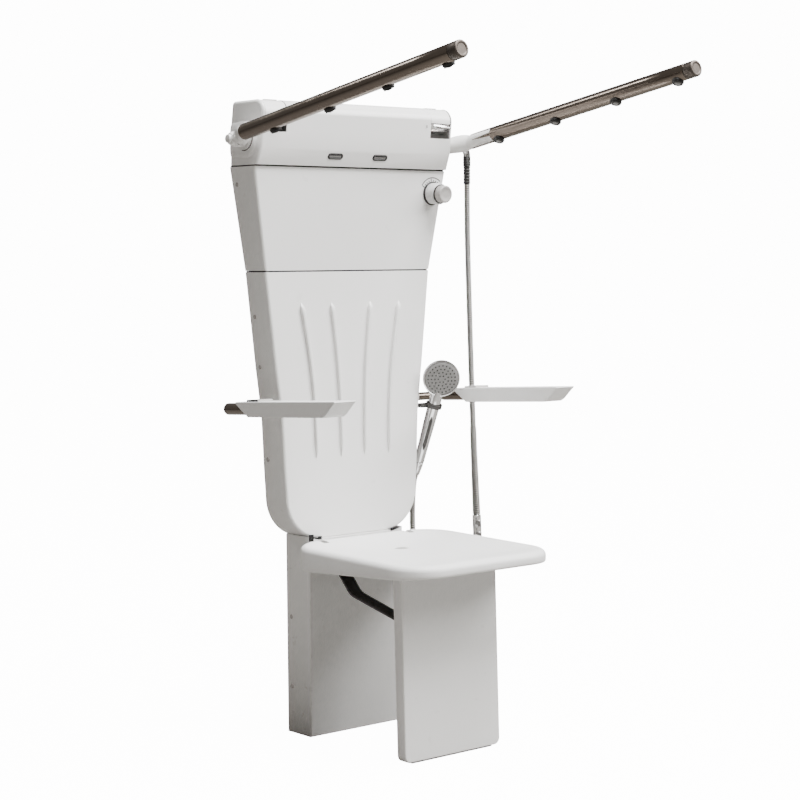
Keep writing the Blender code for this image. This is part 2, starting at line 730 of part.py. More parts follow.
def build_frame():
    """The wall plate and the two steel channels on it."""
    foot = 0.012
    outline = [(-PLATE_HALF, foot), (PLATE_HALF, foot), (PLATE_HALF, PLATE_HEAD_FOOT),
               (PLATE_HEAD_HALF, PLATE_HEAD_FOOT), (PLATE_HEAD_HALF, PLATE_TOP),
               (-PLATE_HEAD_HALF, PLATE_TOP), (-PLATE_HEAD_HALF, PLATE_HEAD_FOOT),
               (-PLATE_HALF, PLATE_HEAD_FOOT)]
    place("wall_plate", prism(outline, "y", -PLATE, 0.0), STEEL)
    back = -PLATE - GAP
    place("column_channel", channel(back, -COLUMN_DEPTH + SKIN + GAP, foot + 0.003,
                                    BACK_BOTTOM - SEAM), STEEL)
    place("back_channel", channel(back, -BACK_FRONT_HIGH + SKIN + 6 * GAP,
                                  BACK_BOTTOM + 2 * SKIN, UPPER_SEAM - 0.09), STEEL)


def channel(back, front, low, high):
    """A steel channel, open towards the wall."""
    outer = CHANNEL_HALF
    inner = CHANNEL_HALF - CHANNEL_WALL
    outline = [(-outer, back), (-outer, front), (outer, front), (outer, back),
               (inner, back), (inner, front + CHANNEL_WALL), (-inner, front + CHANNEL_WALL),
               (-inner, back)]
    return prism(outline, "z", low, high)


def build_plumbing():
    """Mixer body, manifold with its riser and bracket, hose outlet and left cap."""
    bar_right = DIAL_X + 0.018
    bar_left = bar_right - UNION_SPACING - 0.036
    mixer = place("mixer_body", rod((bar_left, MIXER_Y, DIAL_Z), (bar_right, MIXER_Y, DIAL_Z),
                                    MIXER_RADIUS), BRASS)
    unions = [turned([(0, 0.015), (0.004, 0.015), (0.004, 0.012), (-PLATE - MIXER_Y, 0.010)],
                     (x, -PLATE - GAP, DIAL_Z), (0, -1, 0), SMALL_ROUND)
              for x in (DIAL_X, DIAL_X - UNION_SPACING)]
    add(mixer, "supply_unions", together(unions))

    manifold_y = ARM_PIVOT_Y
    z = ARM_PIVOT_Z
    end = HUB_END + 0.004
    manifold = place("shower_manifold", rod((-end, manifold_y, z), (end, manifold_y, z),
                                            MANIFOLD), STEEL)
    riser_x = DIAL_X - UNION_SPACING / 2
    start = DIAL_Z + MIXER_RADIUS + GAP
    bend = (start + z - MANIFOLD) / 2
    route = [(riser_x, MIXER_Y, start), (riser_x, MIXER_Y, bend - 0.014),
             (riser_x, (MIXER_Y + manifold_y) / 2, bend), (riser_x, manifold_y, bend + 0.014),
             (riser_x, manifold_y, z)]
    add(manifold, "riser", sweep(route, MANIFOLD - 0.002, SMALL_ROUND))
    cut(manifold, "manifold_bore", rod((-end - 0.01, manifold_y, z), (end + 0.01, manifold_y, z),
                                       MANIFOLD_BORE, SMALL_ROUND))
    route[0] = (riser_x, MIXER_Y, start - 0.005)
    cut(manifold, "riser_bore", sweep(route, MANIFOLD_BORE - 0.0015, FEW))
    clips = []
    for side in (-1, 1):
        x = side * CLIP_X
        clips.append(box((x - CLIP_WIDTH / 2, manifold_y - CLIP_HEIGHT / 2, z - CLIP_HEIGHT / 2),
                         (x + CLIP_WIDTH / 2, -PLATE - GAP, z + CLIP_HEIGHT / 2)))
    half = CLIP_X + CLIP_WIDTH / 4
    bracket = box((-half, -PLATE - GAP - CLIP_PLATE, z - CLIP_HEIGHT * 0.375),
                  (half, -PLATE - GAP, z + CLIP_HEIGHT * 0.375))
    bracket = place("manifold_bracket", bracket, STEEL)
    add(bracket, "clips", together(clips))
    cut(bracket, "clip_bores", rod((-CLIP_X - CLIP_WIDTH, manifold_y, z),
                                   (CLIP_X + CLIP_WIDTH, manifold_y, z), MANIFOLD + GAP))

    hub_end = HUB_END + GAP
    cap = turned([(0, MANIFOLD + GAP), (0, 0.0125), (0.0030, 0.0125), (0.0050, 0.0105),
                  (0.0050, MANIFOLD + GAP)], (-hub_end, manifold_y, z), (-1, 0, 0),
                 hollow=True)
    place("manifold_cap", cap, WHITE)
    outlet_bend = 0.016
    route = [(hub_end, manifold_y, z), (OUTLET_X - outlet_bend, manifold_y, z)]
    for k in range(1, 5):
        turn = radians(90 * k / 5)
        route.append((OUTLET_X - outlet_bend + outlet_bend * sin(turn), manifold_y,
                      z - outlet_bend + outlet_bend * cos(turn)))
    route += [(OUTLET_X, manifold_y, z - outlet_bend), (OUTLET_X, manifold_y, OUTLET_FOOT)]
    outlet = place("outlet_elbow", sweep(route, 0.0105), CHROME)
    cut(outlet, "outlet_socket", rod((hub_end - 0.001, manifold_y, z),
                                     (end + GAP, manifold_y, z), MANIFOLD + GAP))


def sweep(route, outer, sides=ROUND):
    """Sweep a round section along a route; a list of radii may replace one radius."""
    points = [Vector(point) for point in route]
    count = len(points)
    radii = outer if isinstance(outer, (list, tuple)) else [outer] * count
    tangents = []
    for k in range(count):
        before = points[max(k - 1, 0)]
        after = points[min(k + 1, count - 1)]
        tangents.append((after - before).normalized())
    first, _ = across(tangents[0])
    rings = []
    for k in range(count):
        first = (first - tangents[k] * first.dot(tangents[k])).normalized()
        second = tangents[k].cross(first)
        rings.append((points[k], first.copy(), second))

    def ring(k, radius):
        centre, one, two = rings[k]
        turns = [2 * pi * n / sides for n in range(sides)]
        return [centre + radius * (cos(turn) * one + sin(turn) * two) for turn in turns]

    return skin_rings([ring(k, radii[k]) for k in range(count)])


# Spray arms


def arm_point(side, along, outward=0.0, up=0.0):
    """A point of a spray arm, from its pivot: along the tube, outward and up."""
    forward = Vector((0, -cos(ARM_TILT), sin(ARM_TILT)))
    rise = Vector((0, sin(ARM_TILT), cos(ARM_TILT)))
    pivot = Vector((side * ARM_X, ARM_PIVOT_Y, ARM_PIVOT_Z))
    return pivot + forward * along + rise * up + Vector((side, 0, 0)) * outward


def arm_ring(side, radius, along, sides=ROUND, shift=0.0):
    """A ring of points round a spray arm, moved outward by a shift."""
    turns = [2 * pi * k / sides for k in range(sides)]
    return [arm_point(side, along, shift + radius * cos(turn), radius * sin(turn))
            for turn in turns]


def sleeve_ring(side, radius):
    """The tube's rear end: its outer half reaches further back than its inner half."""
    points = []
    for k in range(ROUND):
        turn = 2 * pi * k / ROUND
        at = ARM_SLEEVE_OUTER if cos(turn) > -0.1 else ARM_SLEEVE_INNER
        points.append(arm_point(side, at, radius * cos(turn), radius * sin(turn)))
    return points


def disc_face():
    """The outer face of the head's round hub disc, as a distance from the centre line."""
    return head_half(ARM_PIVOT_Z - HUB_DISC_RADIUS) + HUB_DISC_WIDTH


def spray_stations():
    """Where the spray heads stand along an arm, from its pivot."""
    stations = [SPRAY_FIRST + SPRAY_PITCH * k for k in range(3)]
    return stations + [ARM_LENGTH - SPRAY_LAST]


def spray_rail(side, name):
    """The water rail inside an arm's tube, with its four spray heads, and their holes."""
    pivot = (0.0, ARM_PIVOT_Y, ARM_PIVOT_Z)
    out = arm_point(side, 0, -cos(SPRAY_ANGLE), -sin(SPRAY_ANGLE)) - arm_point(side, 0)
    start = ARM_SLEEVE_INNER + 0.004 + GAP
    end = spray_stations()[-1] + SPRAY_RING - 0.001
    bar = skin_rings([arm_ring(side, RAIL_RADIUS, along, sides=SMALL_ROUND)
                      for along in (start, end)])
    rail = place(f"spray_rail_{name}", bar, GREY, pivot)
    heads = []
    holes = []
    stand = ARM_RADIUS + SPRAY_STAND
    for station in spray_stations():
        centre = arm_point(side, station)
        profile = [(0.001, SPRAY_RING), (stand - 0.0012, SPRAY_RING), (stand, SPRAY_RING - 0.0012),
                   (stand, SPRAY_DOME), (stand + 0.0010, SPRAY_DOME * 0.8),
                   (stand + 0.0018, SPRAY_DOME * 0.4)]
        heads.append(turned(profile, centre, out, SMALL_ROUND))
        holes.append(rod(centre + out * ARM_RADIUS * 0.4, centre + out * ARM_RADIUS * 1.5,
                         SPRAY_RING + GAP, SMALL_ROUND))
    add(rail, f"spray_heads_{name}", together(heads))
    bore = skin_rings([arm_ring(side, RAIL_BORE, along, sides=FEW)
                       for along in (start - 0.01, end - 0.004)])
    cut(rail, f"rail_bore_{name}", bore)
    return holes


def build_arm(side, name):
    """One spray arm: neck with its hub, tube, rail with spray heads, and end cap."""
    pivot = (0.0, ARM_PIVOT_Y, ARM_PIVOT_Z)
    inner = ARM_RADIUS - ARM_WALL
    tube_end = ARM_LENGTH - ARM_CAP
    hub_from = disc_face() + GAP
    middle = (hub_from + HUB_END) / 2 - ARM_X
    hub = rod((side * hub_from, ARM_PIVOT_Y, ARM_PIVOT_Z),
              (side * HUB_END, ARM_PIVOT_Y, ARM_PIVOT_Z), HUB_RADIUS)
    neck = place(f"arm_neck_{name}", hub, WHITE, pivot)
    narrow = inner - 2 * GAP
    stem = skin_rings([arm_ring(side, HUB_RADIUS - 0.0005, 0.0, shift=middle),
                       arm_ring(side, HUB_RADIUS, 0.013, shift=middle),
                       arm_ring(side, NECK_WIDE, 0.034, shift=middle * 0.6),
                       arm_ring(side, NECK_WIDE - 0.0008, 0.048, shift=middle * 0.25),
                       arm_ring(side, narrow, ARM_SLEEVE_OUTER - 0.001),
                       arm_ring(side, narrow, ARM_SLEEVE_INNER + 0.004)])
    add(neck, f"stem_{name}", stem)
    cut(neck, f"hub_bore_{name}", rod((side * (hub_from - 0.01), ARM_PIVOT_Y, ARM_PIVOT_Z),
                                      (side * (HUB_END + 0.01), ARM_PIVOT_Y, ARM_PIVOT_Z),
                                      MANIFOLD + PIN_PLAY))
    way = [arm_point(side, 0.0, middle), arm_point(side, 0.015, middle),
           arm_point(side, ARM_SLEEVE_OUTER), arm_point(side, 0.16)]
    cut(neck, f"water_way_{name}", sweep(way, MANIFOLD_BORE, SMALL_ROUND))
    tube = skin_rings([sleeve_ring(side, ARM_RADIUS),
                       arm_ring(side, ARM_RADIUS, tube_end - GAP),
                       arm_ring(side, inner, tube_end - GAP),
                       sleeve_ring(side, inner)], closed_profile=True)
    tube = place(f"arm_tube_{name}", tube, BRONZE, pivot)
    cut(tube, f"spray_holes_{name}", together(spray_rail(side, name)))
    cap = skin_rings([arm_ring(side, inner - 2 * GAP, tube_end - 0.012),
                      arm_ring(side, inner - 2 * GAP, tube_end),
                      arm_ring(side, ARM_RADIUS, tube_end),
                      arm_ring(side, ARM_RADIUS, ARM_LENGTH - 0.006),
                      arm_ring(side, ARM_RADIUS * 0.9, ARM_LENGTH - 0.002),
                      arm_ring(side, ARM_RADIUS * 0.6, ARM_LENGTH)])
    place(f"arm_cap_{name}", cap, BRONZE_CAP, pivot)


# Armrests


def rest_point(side, along, outward=0.0, up=0.0):
    """A point of an armrest, from its pivot: along the bar, outward and up."""
    forward = Vector((0, -cos(ARMREST_TILT), sin(ARMREST_TILT)))
    rise = Vector((0, sin(ARMREST_TILT), cos(ARMREST_TILT)))
    pivot = Vector((side * ARMREST_X, ARMREST_PIVOT_Y, ARMREST_PIVOT_Z))
    return pivot + forward * along + rise * up + Vector((side, 0, 0)) * outward


def rest_block(side, outline, half_width):
    """Extrude an outline of (along, up) points over an armrest's width."""
    rings = [[rest_point(side, along, outward, up) for along, up in outline]
             for outward in (-half_width, half_width)]
    return skin_rings(rings)


def build_armrest(side, name):
    """One armrest: bar, pivot shaft, pad and bumper strip."""
    pivot = (0.0, ARMREST_PIVOT_Y, ARMREST_PIVOT_Z)
    rear = rest_point(side, -ARMREST_BAR_REAR)
    forward = rest_point(side, 1.0) - rest_point(side, 0.0)
    length = ARMREST_BAR_REAR + ARMREST_BAR_FRONT
    bar = turned([(0, ARMREST_BAR * 0.7), (0.003, ARMREST_BAR), (length, ARMREST_BAR)],
                 rear, forward)
    bar = place(f"armrest_bar_{name}", bar, BRONZE, pivot)
    side_wall = back_side(ARMREST_PIVOT_Z, ARMREST_PIVOT_Y)
    head = side_wall - SKIN - 0.007
    flange = ARMREST_SHAFT + 0.004
    profile = [(0, flange), (0.0045, flange), (0.0045, ARMREST_SHAFT),
               (ARMREST_X - head, ARMREST_SHAFT)]
    shaft = turned(profile, (side * head, ARMREST_PIVOT_Y, ARMREST_PIVOT_Z), (side, 0, 0))
    add(bar, f"armrest_shaft_{name}", shaft)

    foot = PAD_RISE - PAD_THICK
    outline = [(PAD_REAR_FOOT, foot), (PAD_TIP_FOOT, foot), (PAD_TIP_TOP, PAD_RISE),
               (PAD_REAR_TOP, PAD_RISE)]
    pad = place(f"armrest_pad_{name}", rest_block(side, outline, ARMREST_WIDTH / 2), WHITE,
                pivot)
    bevel = pad.modifiers.new("edge", "BEVEL")
    bevel.width = PAD_EDGE
    bevel.segments = 2
    bore = rod(rest_point(side, -0.05), rest_point(side, ARMREST_BAR_FRONT + GAP),
               ARMREST_BAR + GAP)
    cut(pad, f"bar_bore_{name}", bore)
    strip = rest_block(side, [(BUMPER_FROM, PAD_RISE + GAP), (BUMPER_TO, PAD_RISE + GAP),
                              (BUMPER_TO - 0.002, PAD_RISE + BUMPER_RISE),
                              (BUMPER_FROM + 0.002, PAD_RISE + BUMPER_RISE)],
                       ARMREST_WIDTH / 2 - PAD_EDGE - 0.003)
    place(f"armrest_bumper_{name}", strip, RUBBER, pivot)


# Dials and nozzles of the head


def build_dials():
    """The dark ring at the panel, the temperature dial and the flow dial in front of it."""
    lean = atan2(MIDDLE_FRONT_HIGH - BACK_FRONT_HIGH, UPPER_SEAM - LOWER_SEAM)
    axis = Vector((0, -cos(lean), -sin(lean)))
    face = Vector((DIAL_X, middle_front(DIAL_Z), DIAL_Z))
    neck = CAP_RADIUS * 0.8 - 2 * PIN_PLAY
    nose = SPINDLE + 0.0035
    stem_bore = SPINDLE + PIN_PLAY
    ring_depth = 0.0016
    ring = turned([(0, neck + PIN_PLAY), (0, DIAL_RADIUS - 0.001),
                   (ring_depth, DIAL_RADIUS - 0.001), (ring_depth, neck + PIN_PLAY)],
                  face + axis * GAP, axis, hollow=True)
    place("dial_ring", ring, BLACK)
    start = ring_depth + 3 * GAP
    nose_end = start + DIAL_LENGTH * 0.8
    back = -reach_to_bar(face, axis)
    cartridge = [(back, stem_bore), (back, neck), (start - GAP, neck), (start - GAP, nose),
                 (nose_end, nose), (nose_end, stem_bore)]
    place("mixer_cartridge", turned(cartridge, face, axis, hollow=True), BRASS)
    dial_bore = nose + PIN_PLAY
    dial = [(start, dial_bore), (start, DIAL_RADIUS), (start + DIAL_LENGTH - 0.002, DIAL_RADIUS),
            (start + DIAL_LENGTH, DIAL_RADIUS - 0.002), (start + DIAL_LENGTH, dial_bore)]
    place("temperature_dial", turned(dial, face, axis, hollow=True), GREY, face)
    cap_start = start + DIAL_LENGTH + DIAL_SPLIT
    cap = [(start, SPINDLE), (cap_start, SPINDLE), (cap_start, CAP_RADIUS),
           (cap_start + CAP_LENGTH - 0.003, CAP_RADIUS),
           (cap_start + CAP_LENGTH - 0.0008, CAP_RADIUS - 0.0012),
           (cap_start + CAP_LENGTH, CAP_RADIUS - 0.004)]
    place("flow_dial", turned(cap, face, axis), GREY, face)


def reach_to_bar(face, axis):
    """How far behind the panel's face the mixer bar's surface lies, along the dials' axis."""
    to_bar = Vector((face.x, MIXER_Y, DIAL_Z)) - face
    return (to_bar.length ** 2 - (axis.cross(to_bar)).length ** 2) ** 0.5 - MIXER_RADIUS - GAP


def build_shoulder_nozzles():
    """The rolling barrels in the head's top corners, with their tabs and cradles."""
    centre = shoulder_centre()
    start = SHOULDER_FROM + SHOULDER_PLAY
    end = SHOULDER_TO - SHOULDER_PLAY
    stub = 0.004
    for side, name in ((-1, "left"), (1, "right")):
        profile = [(-0.0040, stub), (0, stub), (0, SHOULDER_RADIUS - 0.001),
                   (0.001, SHOULDER_RADIUS), (end - start - 0.001, SHOULDER_RADIUS),
                   (end - start, SHOULDER_RADIUS - 0.001), (end - start, stub),
                   (end - start + 0.0040, stub)]
        barrel = turned(profile, (side * start, *centre), (side, 0, 0))
        barrel = place(f"shoulder_nozzle_{name}", barrel, CHROME, (0.0, *centre))
        tip = SHOULDER_RADIUS + TAB_REACH
        low = centre[1] - 0.008
        tab = box((start + 0.012, centre[0] - tip, low), (end - 0.002, centre[0] - 0.018,
                                                         low + 0.005))
        add(barrel, f"tab_{name}", mirrored(tab) if side < 0 else tab)
        slot = box((start + 0.006, centre[0] - tip, low - 0.0080),
                   (end - 0.006, centre[0] - SHOULDER_RADIUS + 0.006, low - 0.0040))
        cut(barrel, f"slot_{name}", mirrored(slot) if side < 0 else slot)
        cradle(side, name, start - 0.0040, end + 0.0040)


def cradle(side, name, low, high):
    """A fixed U of sheet behind one barrel, with a hole in each arm for its stub axles."""
    y, z = shoulder_centre()
    rear = y + SHOULDER_RADIUS + 0.0050
    block = box((low, y - 0.010, z - 0.010), (high, rear, z + 0.010))
    frame = place(f"shoulder_cradle_{name}", mirrored(block) if side < 0 else block, DARK_GREY)
    wall = 0.0030
    room = box((low + wall, y - 0.02, z - 0.02), (high - wall, rear - 0.0034, z + 0.02))
    cut(frame, f"cradle_room_{name}", mirrored(room) if side < 0 else room)
    cut(frame, f"cradle_holes_{name}", rod((side * (low - 0.01), y, z), (side * (high + 0.01), y, z),
                                           0.004 + PIN_PLAY, SMALL_ROUND))


# Seat, leg and braces


def seat_outline(inset, steps=6):
    """The seat's outline, drawn in by an inset."""
    middle = (SEAT_REAR + SEAT_FRONT) / 2
    half = (SEAT_REAR - SEAT_FRONT) / 2
    radius = max(SEAT_CORNER - inset, 0.004)
    return rounded(SEAT_HALF - inset, half - inset, radius, steps, (0.0, middle))


def rim_rise(y):
    """How much higher the seat's rim is than at its front edge."""
    return SEAT_REAR_RISE * (y - SEAT_FRONT) / (SEAT_REAR - SEAT_FRONT)


def rim_foot(y, rise=0.0):
    """Height of the seat rim's lower edge at a distance from the wall."""
    return on_line(y, (SEAT_REAR, SEAT_FOOT_REAR), (SEAT_FRONT, SEAT_FOOT_FRONT)) + rise


def hinge_notch(side):
    """The slot in the seat's rear edge that the bracket's lug stands in."""
    low = (LUG_X - LUG_WALL / 2 - LEAF_WALL - 0.0025, SEAT_PIVOT_Y - 0.0165,
           SEAT_FOOT_REAR - 0.02)
    high = (LUG_X + LUG_WALL / 2 + 0.0015, SEAT_REAR + 0.02, SEAT_TOP + 0.02)
    notch = box(low, high)
    return mirrored(notch) if side < 0 else notch


def build_seat():
    """The dished seat shell, its base plate and its drain cap."""
    pivot = (0.0, SEAT_PIVOT_Y, SEAT_PIVOT_Z)
    foot = SEAT_BASE_FOOT
    ceiling = SEAT_TOP - SEAT_DISH - SEAT_SKIN
    rings = [[(x, y, ceiling) for x, y in seat_outline(SEAT_SKIN)]]
    for inset, rise in ((SEAT_SKIN, 0.0), (0.0022, 0.0), (0.0006, 0.002), (0.0, 0.007)):
        rings.append([(x, y, rim_foot(y, rise)) for x, y in seat_outline(inset)])
    profile = [(0.0, SEAT_TOP - 0.012, 1.0), (0.0016, SEAT_TOP - 0.006, 1.0),
               (0.0058, SEAT_TOP - 0.0018, 1.0), (0.012, SEAT_TOP, 1.0),
               (0.035, SEAT_TOP - 0.0015, 0.8), (0.065, SEAT_TOP - SEAT_DISH * 0.7, 0.3),
               (0.095, SEAT_TOP - SEAT_DISH, 0.0)]
    rings += [[(x, y, z + share * rim_rise(y)) for x, y in seat_outline(inset)]
              for inset, z, share in profile]
    shell = place("seat_shell", skin_rings(rings), WHITE_SEAT, pivot)
    relief = box((-SEAT_RELIEF_HALF, SEAT_REAR - 2 * SEAT_SKIN, SEAT_FOOT_REAR - 0.01),
                 (SEAT_RELIEF_HALF, SEAT_REAR + 0.02, SEAT_TOP - SEAT_RELIEF_DROP))
    cut(shell, "rear_relief", relief)
    cut(shell, "seat_notches", together([hinge_notch(-1), hinge_notch(1)]))
    drain = rod((0, DRAIN_Y, foot - 0.02), (0, DRAIN_Y, SEAT_TOP + 0.02), DRAIN_RADIUS)
    cut(shell, "drain_hole", drain)
    base = prism(seat_outline(SEAT_SKIN + 2 * GAP), "z", foot, foot + SEAT_BASE)
    base = place("seat_base", base, STEEL, pivot)
    cut(base, "base_notches", together([hinge_notch(-1), hinge_notch(1)]))
    cut(base, "base_drain", rod((0, DRAIN_Y, foot - 0.02), (0, DRAIN_Y, foot + 0.02),
                                DRAIN_RADIUS * 0.8))
    top = SEAT_TOP - SEAT_DISH
    cap = turned([(0, DRAIN_RADIUS - 2 * GAP), (SEAT_SKIN - 0.001, DRAIN_RADIUS - 2 * GAP),
                  (SEAT_SKIN, DRAIN_RADIUS - 0.0016)], (0, DRAIN_Y, top - SEAT_SKIN), (0, 0, 1))
    place("drain_cap", cap, GREY, pivot)

    for side, name in ((-1, "left"), (1, "right")):
        build_rail(side, name, foot - GAP)


def build_rail(side, name, top):
    """The steel rail under one side of the seat, with the seat's hinge cheek and the leg's ear."""
    pivot = (0.0, SEAT_PIVOT_Y, SEAT_PIVOT_Z)
    foot = top - LEAF_WALL
    outer = LUG_X - LUG_WALL / 2 - 0.0015
    radius = LUG_RADIUS - 0.0005
    rear = SEAT_PIVOT_Y + radius
    front = LEG_PIVOT_Y - 0.028
    half = 0.014
    outline = [(LEG_EAR_X - half, front), (LEG_EAR_X + half, front),
               (LEG_EAR_X + half, SEAT_PIVOT_Y - 0.090), (outer, SEAT_PIVOT_Y - 0.050),
               (outer, rear), (LEG_EAR_X - half, rear)]
    sheet = prism([(side * x, y) for x, y in outline], "z", foot, top)
    rail = place(f"seat_rail_{name}", sheet, BLACK_STEEL, pivot)
    cheek = around((SEAT_PIVOT_Y, SEAT_PIVOT_Z), radius, 0, 180, 8)
    cheek += [(SEAT_PIVOT_Y - radius, foot + 0.001), (rear, foot + 0.001)]
    cheek = prism(cheek, "x", side * (outer - LEAF_WALL), side * outer)
    ear = around((LEG_PIVOT_Y, LEG_PIVOT_Z), LEG_TUBE + 0.0038, 0, -180, 8)
    ear += [(LEG_PIVOT_Y - LEG_TUBE - 0.0038, foot + 0.001), (LEG_PIVOT_Y + 0.014, foot + 0.001)]
    middle = side * LEG_EAR_X
    ear = prism(ear, "x", middle - LEG_EAR_WALL / 2, middle + LEG_EAR_WALL / 2)
    add(rail, f"cheek_and_ear_{name}", together([cheek, ear]))
    hole = rod((side * (outer - 0.02), SEAT_PIVOT_Y, SEAT_PIVOT_Z),
               (side * (outer + 0.02), SEAT_PIVOT_Y, SEAT_PIVOT_Z), HINGE_PIN + PIN_PLAY)
    bore = rod((middle - 0.02, LEG_PIVOT_Y, LEG_PIVOT_Z),
               (middle + 0.02, LEG_PIVOT_Y, LEG_PIVOT_Z), LEG_TUBE + PIN_PLAY)
    cut(rail, f"hinge_holes_{name}", together([hole, bore]))


def ear_ends():
    """Inner and outer x of the two ears beside a brace."""
    half = BRACE_WIDTH / 2 + EAR_PLAY
    return ((BRACE_X - half - EAR_WALL, BRACE_X - half), (BRACE_X + half, BRACE_X + half + EAR_WALL))


def build_bracket():
    """The fixed bracket on the column: plate, seat lugs, brace ears and all their pins."""
    rear = -COLUMN_DEPTH - GAP
    front = rear - BRACKET_WALL
    root = front + BRACKET_WALL / 2
    plate = box((-BRACKET_HALF, front, BRACKET_FOOT), (BRACKET_HALF, rear, BRACKET_TOP))
    bracket = place("seat_bracket", plate, BLACK_STEEL)
    seat_pivot = (SEAT_PIVOT_Y, SEAT_PIVOT_Z)
    lug = around(seat_pivot, LUG_RADIUS, 90, 270, 8)
    lug += [(root, SEAT_PIVOT_Z - 0.036), (root, SEAT_PIVOT_Z + LUG_RADIUS)]
    arms = [prism(lug, "x", LUG_X - LUG_WALL / 2, LUG_X + LUG_WALL / 2)]
    ear = around(BRACE_REAR, BRACE_EYE_REAR + 0.001, 90, 270, 8)
    ear += [(root, BRACE_REAR[1] - BRACE_EYE_REAR - 0.001), (root, BRACE_REAR[1] + BRACE_EYE_REAR + 0.001)]
    for low, high in ear_ends():
        arms.append(prism(ear, "x", low, high))
    add(bracket, "lugs", pair(together(arms)))
    ears = ear_ends()
    bores = [rod((LUG_X - 0.01, *seat_pivot), (LUG_X + 0.01, *seat_pivot),
                 HINGE_PIN + PIN_PLAY),
             rod((ears[0][0] - 0.002, *BRACE_REAR), (ears[1][1] + 0.002, *BRACE_REAR),
                 BRACE_PIN + PIN_PLAY)]
    cut(bracket, "pin_holes", pair(together(bores)))
    pin_from = LUG_X - LUG_WALL / 2 - 0.0015 - LEAF_WALL
    for side, name in ((-1, "left"), (1, "right")):
        pin = rod((side * pin_from, *seat_pivot), (side * (LUG_X + LUG_WALL / 2), *seat_pivot),
                  HINGE_PIN)
        place(f"seat_hinge_pin_{name}", pin, STEEL)
        pin = rod((side * ears[0][0], *BRACE_REAR), (side * ears[1][1], *BRACE_REAR), BRACE_PIN)
        place(f"brace_pin_{name}", pin, STEEL)


def build_brace(side, name):
    """One bent strap brace with an eye at each end."""
    half = BRACE_THICK / 2
    rear = Vector(BRACE_REAR)
    bend = Vector(BRACE_BEND)
    front = Vector(BRACE_FRONT)
    route = [rear]
    reach = 0.012
    before = bend + (rear - bend).normalized() * reach
    after = bend + (front - bend).normalized() * reach
    steps = 4
    for k in range(steps + 1):
        share = k / steps
        route.append(before.lerp(bend, share).lerp(bend.lerp(after, share), share))
    route.append(front)
    left = []
    right = []
    for k, point in enumerate(route):
        heading = (route[min(k + 1, len(route) - 1)] - route[max(k - 1, 0)]).normalized()
        across_strap = Vector((-heading.y, heading.x))
        left.append(tuple(point + across_strap * half))
        right.append(tuple(point - across_strap * half))
    low = side * BRACE_X - BRACE_WIDTH / 2
    high = side * BRACE_X + BRACE_WIDTH / 2
    brace = place(f"brace_{name}", prism(left + right[::-1], "x", low, high), BLACK_STEEL,
                  (0.0, *BRACE_REAR))
    eyes = [rod((low, *BRACE_REAR), (high, *BRACE_REAR), BRACE_EYE_REAR),
            rod((low, *BRACE_FRONT), (high, *BRACE_FRONT), BRACE_EYE_FRONT)]
    add(brace, f"eyes_{name}", together(eyes))
    bores = [rod((low - 0.01, *point), (high + 0.01, *point), BRACE_PIN + PIN_PLAY)
             for point in (BRACE_REAR, BRACE_FRONT)]
    cut(brace, f"eye_bores_{name}", together(bores))


def leg_front(z):
    """The leg's front plane, as a y value at a height; it leans out a little to its foot."""
    return on_line(z, (0.0, LEG_FRONT_FOOT), (LEG_TOP, LEG_FRONT_TOP))


def build_leg():
    """The leg panel, its hinge rod, the bracket inside it and the strip under it."""
    pivot = (0.0, LEG_PIVOT_Y, LEG_PIVOT_Z)
    centre = (LEG_HALF - LEG_FOOT_CORNER, FOOT_PAD + LEG_FOOT_CORNER)
    right = around(centre, LEG_FOOT_CORNER, -90, 0, 4) + [(LEG_HALF, LEG_TOP)]
    left = [(-x, z) for x, z in reversed(right)]
    outline = left + right
    front = [(x, leg_front(z), z) for x, z in outline]
    back = [(x, leg_front(z) + LEG_THICK, z) for x, z in outline]
    panel = cover("leg_panel", front, back, {len(front) - 1}, 0.003, LEG_SKIN)
    panel.data.transform(Matrix.Translation(-Vector(pivot)))
    panel.location = pivot
    reach = LEG_HALF - LEG_SKIN - GAP
    place("leg_hinge_rod", rod((-reach, LEG_PIVOT_Y, LEG_PIVOT_Z),
                               (reach, LEG_PIVOT_Y, LEG_PIVOT_Z), LEG_TUBE), STEEL, pivot)
    centre_y, centre_z = BRACE_FRONT
    skin_face = leg_front(centre_z - 0.014) + LEG_SKIN + 3 * GAP
    lug = around(BRACE_FRONT, BRACE_EYE_FRONT + 0.001, 90, -90, 8)
    lug += [(skin_face + 0.001, centre_z - 0.012), (skin_face + 0.001, centre_z + 0.012)]
    lugs = [prism(lug, "x", low, high) for low, high in ear_ends()]
    ears = ear_ends()
    plate = box((-ears[1][1], skin_face, centre_z - 0.014),
                (ears[1][1], skin_face + 0.0022, centre_z + 0.014))
    holder = place("leg_brace_bracket", plate, BLACK_STEEL, pivot)
    add(holder, "brace_ears", pair(together(lugs)))
    bore = rod((ears[0][0] - 0.01, *BRACE_FRONT), (ears[1][1] + 0.01, *BRACE_FRONT),
               BRACE_PIN + PIN_PLAY)
    cut(holder, "brace_ear_holes", pair(bore))
    foot_y = leg_front(0.0)
    strip = box((-LEG_HALF + 0.020, foot_y + 0.004, 0.0),
                (LEG_HALF - 0.020, foot_y + LEG_THICK - 0.004, FOOT_PAD - GAP))
    place("leg_foot_strip", strip, RUBBER, pivot)


# Handset and hose


def handle_line():
    """Top and foot of the handset's handle, and the unit vector up it."""
    top = Vector(HANDSET_TOP)
    foot = Vector(HANDSET_FOOT)
    return top, foot, (top - foot).normalized()


